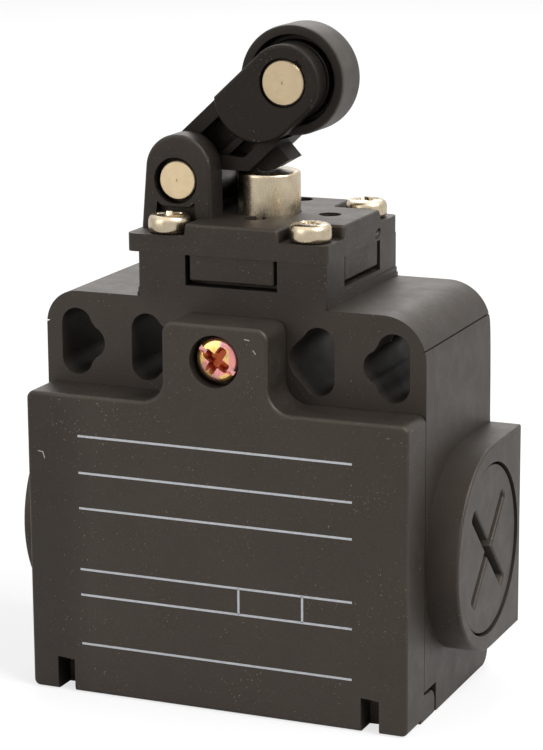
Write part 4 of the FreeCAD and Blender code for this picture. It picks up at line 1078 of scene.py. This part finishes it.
def fork_cheek(lever, side):
    """Outer cheek of the fork with its axle hole, counterbore and key notch."""
    half, end, y0, y1 = lever.half_width, lever.length, side * 3.3 * MM, side * 6.0 * MM
    outline = swept((end, 0), half, -90, 90, 40)
    outline += swept((15.04 * MM, 1.05 * MM), 5.92 * MM, 140.1, 266.0, 28)
    cheek = drawn("cheek", on_arm(lever, outline, y0), Y * (y1 - y0))
    round_edges(cheek, lambda p: near(p.y, y1), 0.45 * MM)
    axle, r = arm_point(lever, end, 0), lever.axle_radius
    ring_floor = y1 - side * 0.8 * MM
    notch = rounded([(r - 0.4 * MM, -0.6 * MM, 0), (r + 0.65 * MM, -0.6 * MM, 0), (r + 0.65 * MM, 0.6 * MM, 0),
                     (r - 0.4 * MM, 0.6 * MM, 0)])
    turn = Matrix.Rotation(math.radians(-48), 3, "Y")
    notch = drawn("notch", [axle + turn @ p + Y * ring_floor for p in notch], Y * (side * 3 * MM))
    return carved(cheek, bar("bore", r + 0.01 * MM, axle + Y * (y0 - side * MM), axle + Y * (y1 + side * MM), 96),
                  bar("counterbore", r + 0.3 * MM, axle + Y * ring_floor, axle + Y * (y1 + side * MM), 96), notch)


def arm_nose(lever):
    """Block under the arm whose rounded foot rides on the plunger."""
    half, d, r = lever.half_width, 2.1 * MM, 2.0 * MM
    centre = Vector((0.3 * MM, -d, lever.plunger_top + 0.12 * MM + r))
    corners = [(6.3 * MM, MM - half), (11.55 * MM, MM - half), (11.55 * MM, -half - 2.25 * MM)]
    outline = [arm_point(lever, u, v, -d) for u, v in corners]
    outline += [centre + Vector((0.6 * r, 0, -0.8 * r)), centre + Vector((-0.6 * r, 0, -0.8 * r))]
    return joined(drawn("nose", outline, Y * (2 * d)), bar("foot", r, centre, centre + Y * (2 * d), 72))


# Half the size of the pit in the head plate's right face
PIT_SIZE = (0.7 * MM, 1.1 * MM, 0.6 * MM)


class SWITCH_OT_head(bpy.types.Operator):
    """Model the head plate with its ears, pockets and tongues"""
    bl_idname = "switch.head"
    bl_label = "Head plate"

    def execute(self, context):
        case, lever = context.scene.switch_case, context.scene.switch_lever
        low, seat = case.neck_top, case.neck_top + 2.3 * MM
        top, deep, side = seat + 1.65 * MM, case.depth / 2, case.neck_width / 2
        head = block("head", (-side - 1.55 * MM, -deep - 0.06 * MM, low), (side + 0.06 * MM, deep + 0.06 * MM, top))
        round_edges(head, lambda p: True, 0.9 * MM, 6, along=Z)
        wall, over = 6.45 * MM, 30 * MM
        head = carved(head, *[between("pocket", (i * wall, j * wall, seat), (i * over, j * over, top + MM))
                              for i, j in CORNERS])
        round_edges(head, lambda p: p.z > seat - 0.01 * MM, 0.7 * MM, 5, along=Z)
        round_edges(head, lambda p: near(p.z, top), 0.4 * MM, 3)
        for j in SIDES:
            head = joined(head, head_ear(case, lever, j))
        for tongue in tongues(case, seat):
            head = joined(head, tongue)
        pin = arm_point(lever, 0, 0)
        screws = [Vector((i * SCREW_OUT, j * SCREW_OUT, seat)) for i, j in CORNERS]
        tools = [bar("bore", lever.plunger_radius + 0.06 * MM, Z * (low - MM), Z * (top + MM), 96),
                 bar("seal_seat", lever.plunger_radius + 1.9 * MM, Z * (low - MM), Z * (low + 1.6 * MM)),
                 bar("pin_hole", lever.pin_radius + 0.01 * MM, pin - Y * 10 * MM, pin + Y * 10 * MM, 96)]
        tools += [bar("pin_gap", lever.pin_radius + 0.5 * MM, pin + Y * j * 6 * MM, pin + Y * j * 9 * MM, 96)
                  for j in SIDES]
        tools += [bar("passage", 1.7 * MM, s - Z * 4 * MM, s) for s in screws]
        tools += [bar("head_room", 2.95 * MM, s, s + Z * 3 * MM) for s in screws]
        tools += seam_lines(case)
        tools.append(chip((side + 0.1 * MM, 5.3 * MM, low + 0.95 * MM), PIT_SIZE, (0.4, 0.2, 0)))
        tools += [bar("dimple", 1.45 * MM, (x * MM, y * MM, top - 0.6 * MM), (x * MM, y * MM, top + MM), 48)
                  for x, y in ((0.4, -5.5), (8.2, 0.6), (0.4, 10.2))]
        soften(carved(head, *tools), 0.12 * MM, limit=50)
        finish(named_as(head, "head_body"), "head_plastic", "case", "black_plastic", "head_plate")
        return {"FINISHED"}


def between(name, here, there):
    """Block between any two opposite corners."""
    low = [min(a, b) for a, b in zip(here, there)]
    high = [max(a, b) for a, b in zip(here, there)]
    return block(name, low, high)


def head_ear(case, lever, j):
    """Upright ear: round top, a relief for the screw's head and a ring round the pin."""
    y0, y1, low = j * 4.3 * MM, j * 8.0 * MM, case.neck_top
    x, z, r = lever.pivot_x + 0.3 * MM, lever.pivot_z + 1.4 * MM, 4.55 * MM
    left = -case.neck_width / 2 - 1.85 * MM
    outline = [Vector((left, 0, low)), Vector((left + 10.2 * MM, 0, low))] + swept((x, z), r, 4, 176, 32)
    blade = drawn("ear", at_depth(outline, y0), Y * (y1 - y0))
    round_edges(blade, lambda p: near(p.y, y1), 0.5 * MM)
    pin, half = arm_point(lever, 0, 0), 3 * MM
    floor = y1 - j * 1.3 * MM
    foot, upper, narrow = low + 2.3 * MM, pin.z - 1.6 * MM, half - 0.5 * MM
    sides = rounded([(pin.x - half, foot, 0), (pin.x + half, foot, 0), (pin.x + narrow, upper, 0.4 * MM),
                     (pin.x - narrow, upper, 0.4 * MM)])
    relief = drawn("relief", at_depth(sides, floor), Y * (y1 + j * MM - floor))
    ring = bar("pin_ring", 3.75 * MM, pin + Y * y0, pin + Y * y1, 72)
    return joined(carved(blade, relief), ring)


def tongues(case, seat):
    """Four tongues that drop into the neck's windows."""
    w, e, d, g, t = 5.8 * MM, case.neck_width / 2, case.depth / 2, 0.15 * MM, 1.9 * MM
    low = case.neck_top - 3.3 * MM
    made = [between("tongue", (-w, j * (d - g), low), (w, j * (d - g - t), seat)) for j in SIDES]
    made += [between("tongue", (i * (e - g), -w, low), (i * (e - g - t), w, seat)) for i in SIDES]
    return [soften(tongue, 0.25 * MM, 3) for tongue in made]


def seam_lines(case):
    """Cutters for the thin line between the head plate and its tongues."""
    w, e, d, low, t = 5.8 * MM, case.neck_width / 2, case.depth / 2, case.neck_top, 0.35 * MM
    made = [between("seam", (-w, j * (d - t), low), (w, j * d, low + 0.14 * MM)) for j in SIDES]
    return made + [between("seam", (i * (e - t), -w, low), (i * e, w, low + 0.14 * MM)) for i in SIDES]


# Places in millimetres and turns of the chips in the right outer slot's inner wall, and half their size
BROKEN_SPOT = [((19.75, -6.2, 47.6), (0.3, 0.2, 0.1)), ((20.0, -4.4, 48.5), (0.1, 0.5, 0.3)),
               ((19.6, -4.6, 47.0), (0.6, 0.1, 0.4))]
CHIP_SIZE = (0.6 * MM, 1.3 * MM, 0.8 * MM)


class SWITCH_OT_housing(bpy.types.Operator):
    """Model the case with its neck, bosses, slots and windows"""
    bl_idname = "switch.housing"
    bl_label = "Housing"

    def execute(self, context):
        case = context.scene.switch_case
        body = case_block(case)
        for side in SIDES:
            body = joined(body, conduit_boss(case, side))
        body = carved(body, *fixing_slots(case), *entry_holes(case), *neck_windows(case), *case_rooms(case))
        body = carved(body, *[chip(Vector(place) * MM, CHIP_SIZE, turn) for place, turn in BROKEN_SPOT])
        soften(body, case.edge, limit=50)
        finish(named_as(body, "case_body"), "black_plastic", "case", "black_plastic", "housing")
        return {"FINISHED"}


def case_block(case):
    """Case with round shoulders, a thin groove above its side panels and a square neck with a low collar."""
    side, top, front, back = case.width / 2, case.shoulder, -case.depth / 2, case.depth / 2
    r = case.shoulder_radius
    outline = shoulder_side(case, r) + [Vector((-p.x, 0, p.z)) for p in reversed(shoulder_side(case, 0.78 * r))]
    body = drawn("case", at_depth(outline, front), Y * case.depth)
    round_edges(body, lambda p: near(p.y, back) and near(p.z, 0), 2 * MM, 10)
    round_edges(body, lambda p: near(p.y, back) and p.z > 2.5 * MM, 0.5 * MM)
    body = carved(body, *[between("groove", (i * (side - 0.45 * MM), front - MM, case.ledge - 0.2 * MM),
                                  (i * (side + MM), back + MM, case.ledge)) for i in SIDES])
    neck = block("neck", (-case.neck_width / 2, front, top - 3 * MM), (case.neck_width / 2, back, case.neck_top))
    round_edges(neck, lambda p: True, 0.4 * MM, along=Z)
    body = joined(body, neck)
    for out, high in ((0.14 * MM, 1.15 * MM), (0.3 * MM, 0.5 * MM)):
        half = case.neck_width / 2 + out
        body = joined(body, block("collar", (-half, front + 0.3 * MM, top - MM), (half, back - 0.3 * MM, top + high)))
    return body


def shoulder_side(case, r):
    """Right half of the case's outline: flat side and the shoulder's arc."""
    side, top = case.width / 2, case.shoulder
    return [Vector((side, 0, 0))] + swept((side - r, top - r), r, 0, 90, 18)


def conduit_boss(case, side):
    """D-shaped boss with a rounded rim."""
    front, back, z = -case.depth / 2, case.depth / 2, case.boss_height
    wall, face, edge = case.width / 2, case.boss_reach, 0.35 * MM
    turns = [math.radians(22.5 * k) for k in range(5)]
    steps = [(wall - MM, 0.0)] + [(face - edge * (1 - math.sin(a)), -edge * (1 - math.cos(a))) for a in turns]
    rings = [boss_ring(side * x, case.boss_radius + out, front + case.boss_radius, back + (out if out < 0 else 0), z)
             for x, out in steps]
    boss = lofted("boss", rings)
    return carved(boss, block("front_trim", (-0.04, front - 9 * MM, 0), (0.04, front, 0.05)))


def boss_ring(x, r, middle, back, z):
    """One D-shaped section of a boss."""
    arc = [Vector((x, p.x, p.z)) for p in swept((middle, z), r, 90, 270, 40)]
    return arc + [Vector((x, back, z - r)), Vector((x, back, z + r))]


def fixing_slots(case):
    """Cutters for the four keyhole slots, each with a bulge towards the middle."""
    r, straight, y = case.slot_width / 2, (case.slot_length - case.slot_width) / 2, -case.depth
    bulge = case.slot_bulge
    open_angle = math.degrees(math.acos((r - bulge) / r))
    made = []
    for i in SIDES:
        for x, ease, wide in ((case.slot_inner, 30, 0.7 * MM), (case.slot_outer, 14, 0.0)):
            outline = swept((0, straight), r, ease, 180, 13) + swept((0, -straight), r, 180, 360 - ease, 13)
            outline += swept((bulge - wide, 0), r + wide, -open_angle + ease, open_angle - ease, 11)
            points = [Vector((i * (x - p.x), y, case.slot_height + p.z)) for p in outline]
            made.append(drawn("slot", points, Y * (2 * case.depth)))
    return made


def entry_holes(case):
    """Cutters for the conduit entries and their sunk flange seats."""
    middle, made = Z * case.boss_height, []
    for i in SIDES:
        step, mouth = X * i * (case.boss_reach - 3.15 * MM), X * i * (case.boss_reach + MM)
        made += [bar("seat", 11.3 * MM, middle + step, middle + mouth, 128),
                 bar("thread", 10.0 * MM, middle + X * i * (case.width / 2 - 4 * MM), middle + step, 96)]
    return made


def neck_windows(case):
    w, e, d, t = 6.3 * MM, case.neck_width / 2, case.depth / 2, 2.2 * MM
    low, high = case.neck_top - 3.95 * MM, case.neck_top + MM
    made = [between("window", (-w, j * (d - t), low), (w, j * (d + MM), high)) for j in SIDES]
    return made + [between("window", (i * (e - t), -w, low), (i * (e + MM), w, high)) for i in SIDES]


def case_rooms(case):
    """Cutters for the contact room, the plunger's well, the lug seats and the screw holes."""
    front, side, top = -case.depth / 2, case.width / 2, case.neck_top
    ceiling = case.wall + case.cavity_height
    made = [block("room", (case.wall - side, front - MM, case.wall), (side - case.wall, -front - case.wall, ceiling)),
            bar("well", 6.7 * MM, Z * (ceiling + 4.8 * MM), Z * (top + MM), 96),
            bar("stem", 2.56 * MM, Z * (ceiling - MM), Z * (ceiling + 5 * MM)),
            bar("gasket_seat", 8.0 * MM, Z * (top - 0.5 * MM), Z * (top + MM), 96),
            bar("cover_hole", 1.55 * MM, (0, front - MM, 45.6 * MM), (0, front + 3.1 * MM, 45.6 * MM), 32)]
    for i in SIDES:
        inner, outer = i * (side - 1.4 * MM), i * (side + MM)
        made.append(between("lug_seat", (inner, front - MM, -MM), (outer, front + 4.4 * MM, 3.85 * MM)))
    for i, j in CORNERS:
        x, y = i * SCREW_OUT, j * SCREW_OUT
        made.append(bar("screw_hole", 1.55 * MM, (x, y, top - 6.1 * MM), (x, y, top + MM), 32))
    return made


class SWITCH_PT_pieces(bpy.types.Panel):
    """Buttons for the switch's pieces"""
    bl_label = "Limit switch"
    bl_idname = "SWITCH_PT_pieces"
    bl_space_type = "VIEW_3D"
    bl_region_type = "UI"
    bl_category = "Limit switch"

    def draw(self, context):
        for operator in OPERATORS:
            self.layout.operator(operator.bl_idname)


GROUPS = {"switch_case": CaseSizes, "switch_cover": CoverSizes, "switch_lever": LeverSizes,
          "switch_colours": FinishColours}
OPERATORS = (SWITCH_OT_finishes, SWITCH_OT_housing, SWITCH_OT_cover, SWITCH_OT_screws, SWITCH_OT_plugs,
             SWITCH_OT_head, SWITCH_OT_plunger, SWITCH_OT_lever, SWITCH_OT_roller, SWITCH_OT_stage)


def register():
    for group in GROUPS.values():
        bpy.utils.register_class(group)
    for name, group in GROUPS.items():
        setattr(bpy.types.Scene, name, PointerProperty(type=group))
    for operator in OPERATORS:
        bpy.utils.register_class(operator)
    bpy.utils.register_class(SWITCH_PT_pieces)


def unregister():
    bpy.utils.unregister_class(SWITCH_PT_pieces)
    for operator in reversed(OPERATORS):
        bpy.utils.unregister_class(operator)
    for name, group in GROUPS.items():
        delattr(bpy.types.Scene, name)
        bpy.utils.unregister_class(group)


def main():
    register()
    bpy.ops.switch.finishes()
    bpy.ops.switch.housing()
    bpy.ops.switch.cover()
    bpy.ops.switch.screws()
    bpy.ops.switch.plugs()
    bpy.ops.switch.head()
    bpy.ops.switch.plunger()
    bpy.ops.switch.lever()
    bpy.ops.switch.roller()
    bpy.ops.switch.stage()


if __name__ == "__main__":
    main()
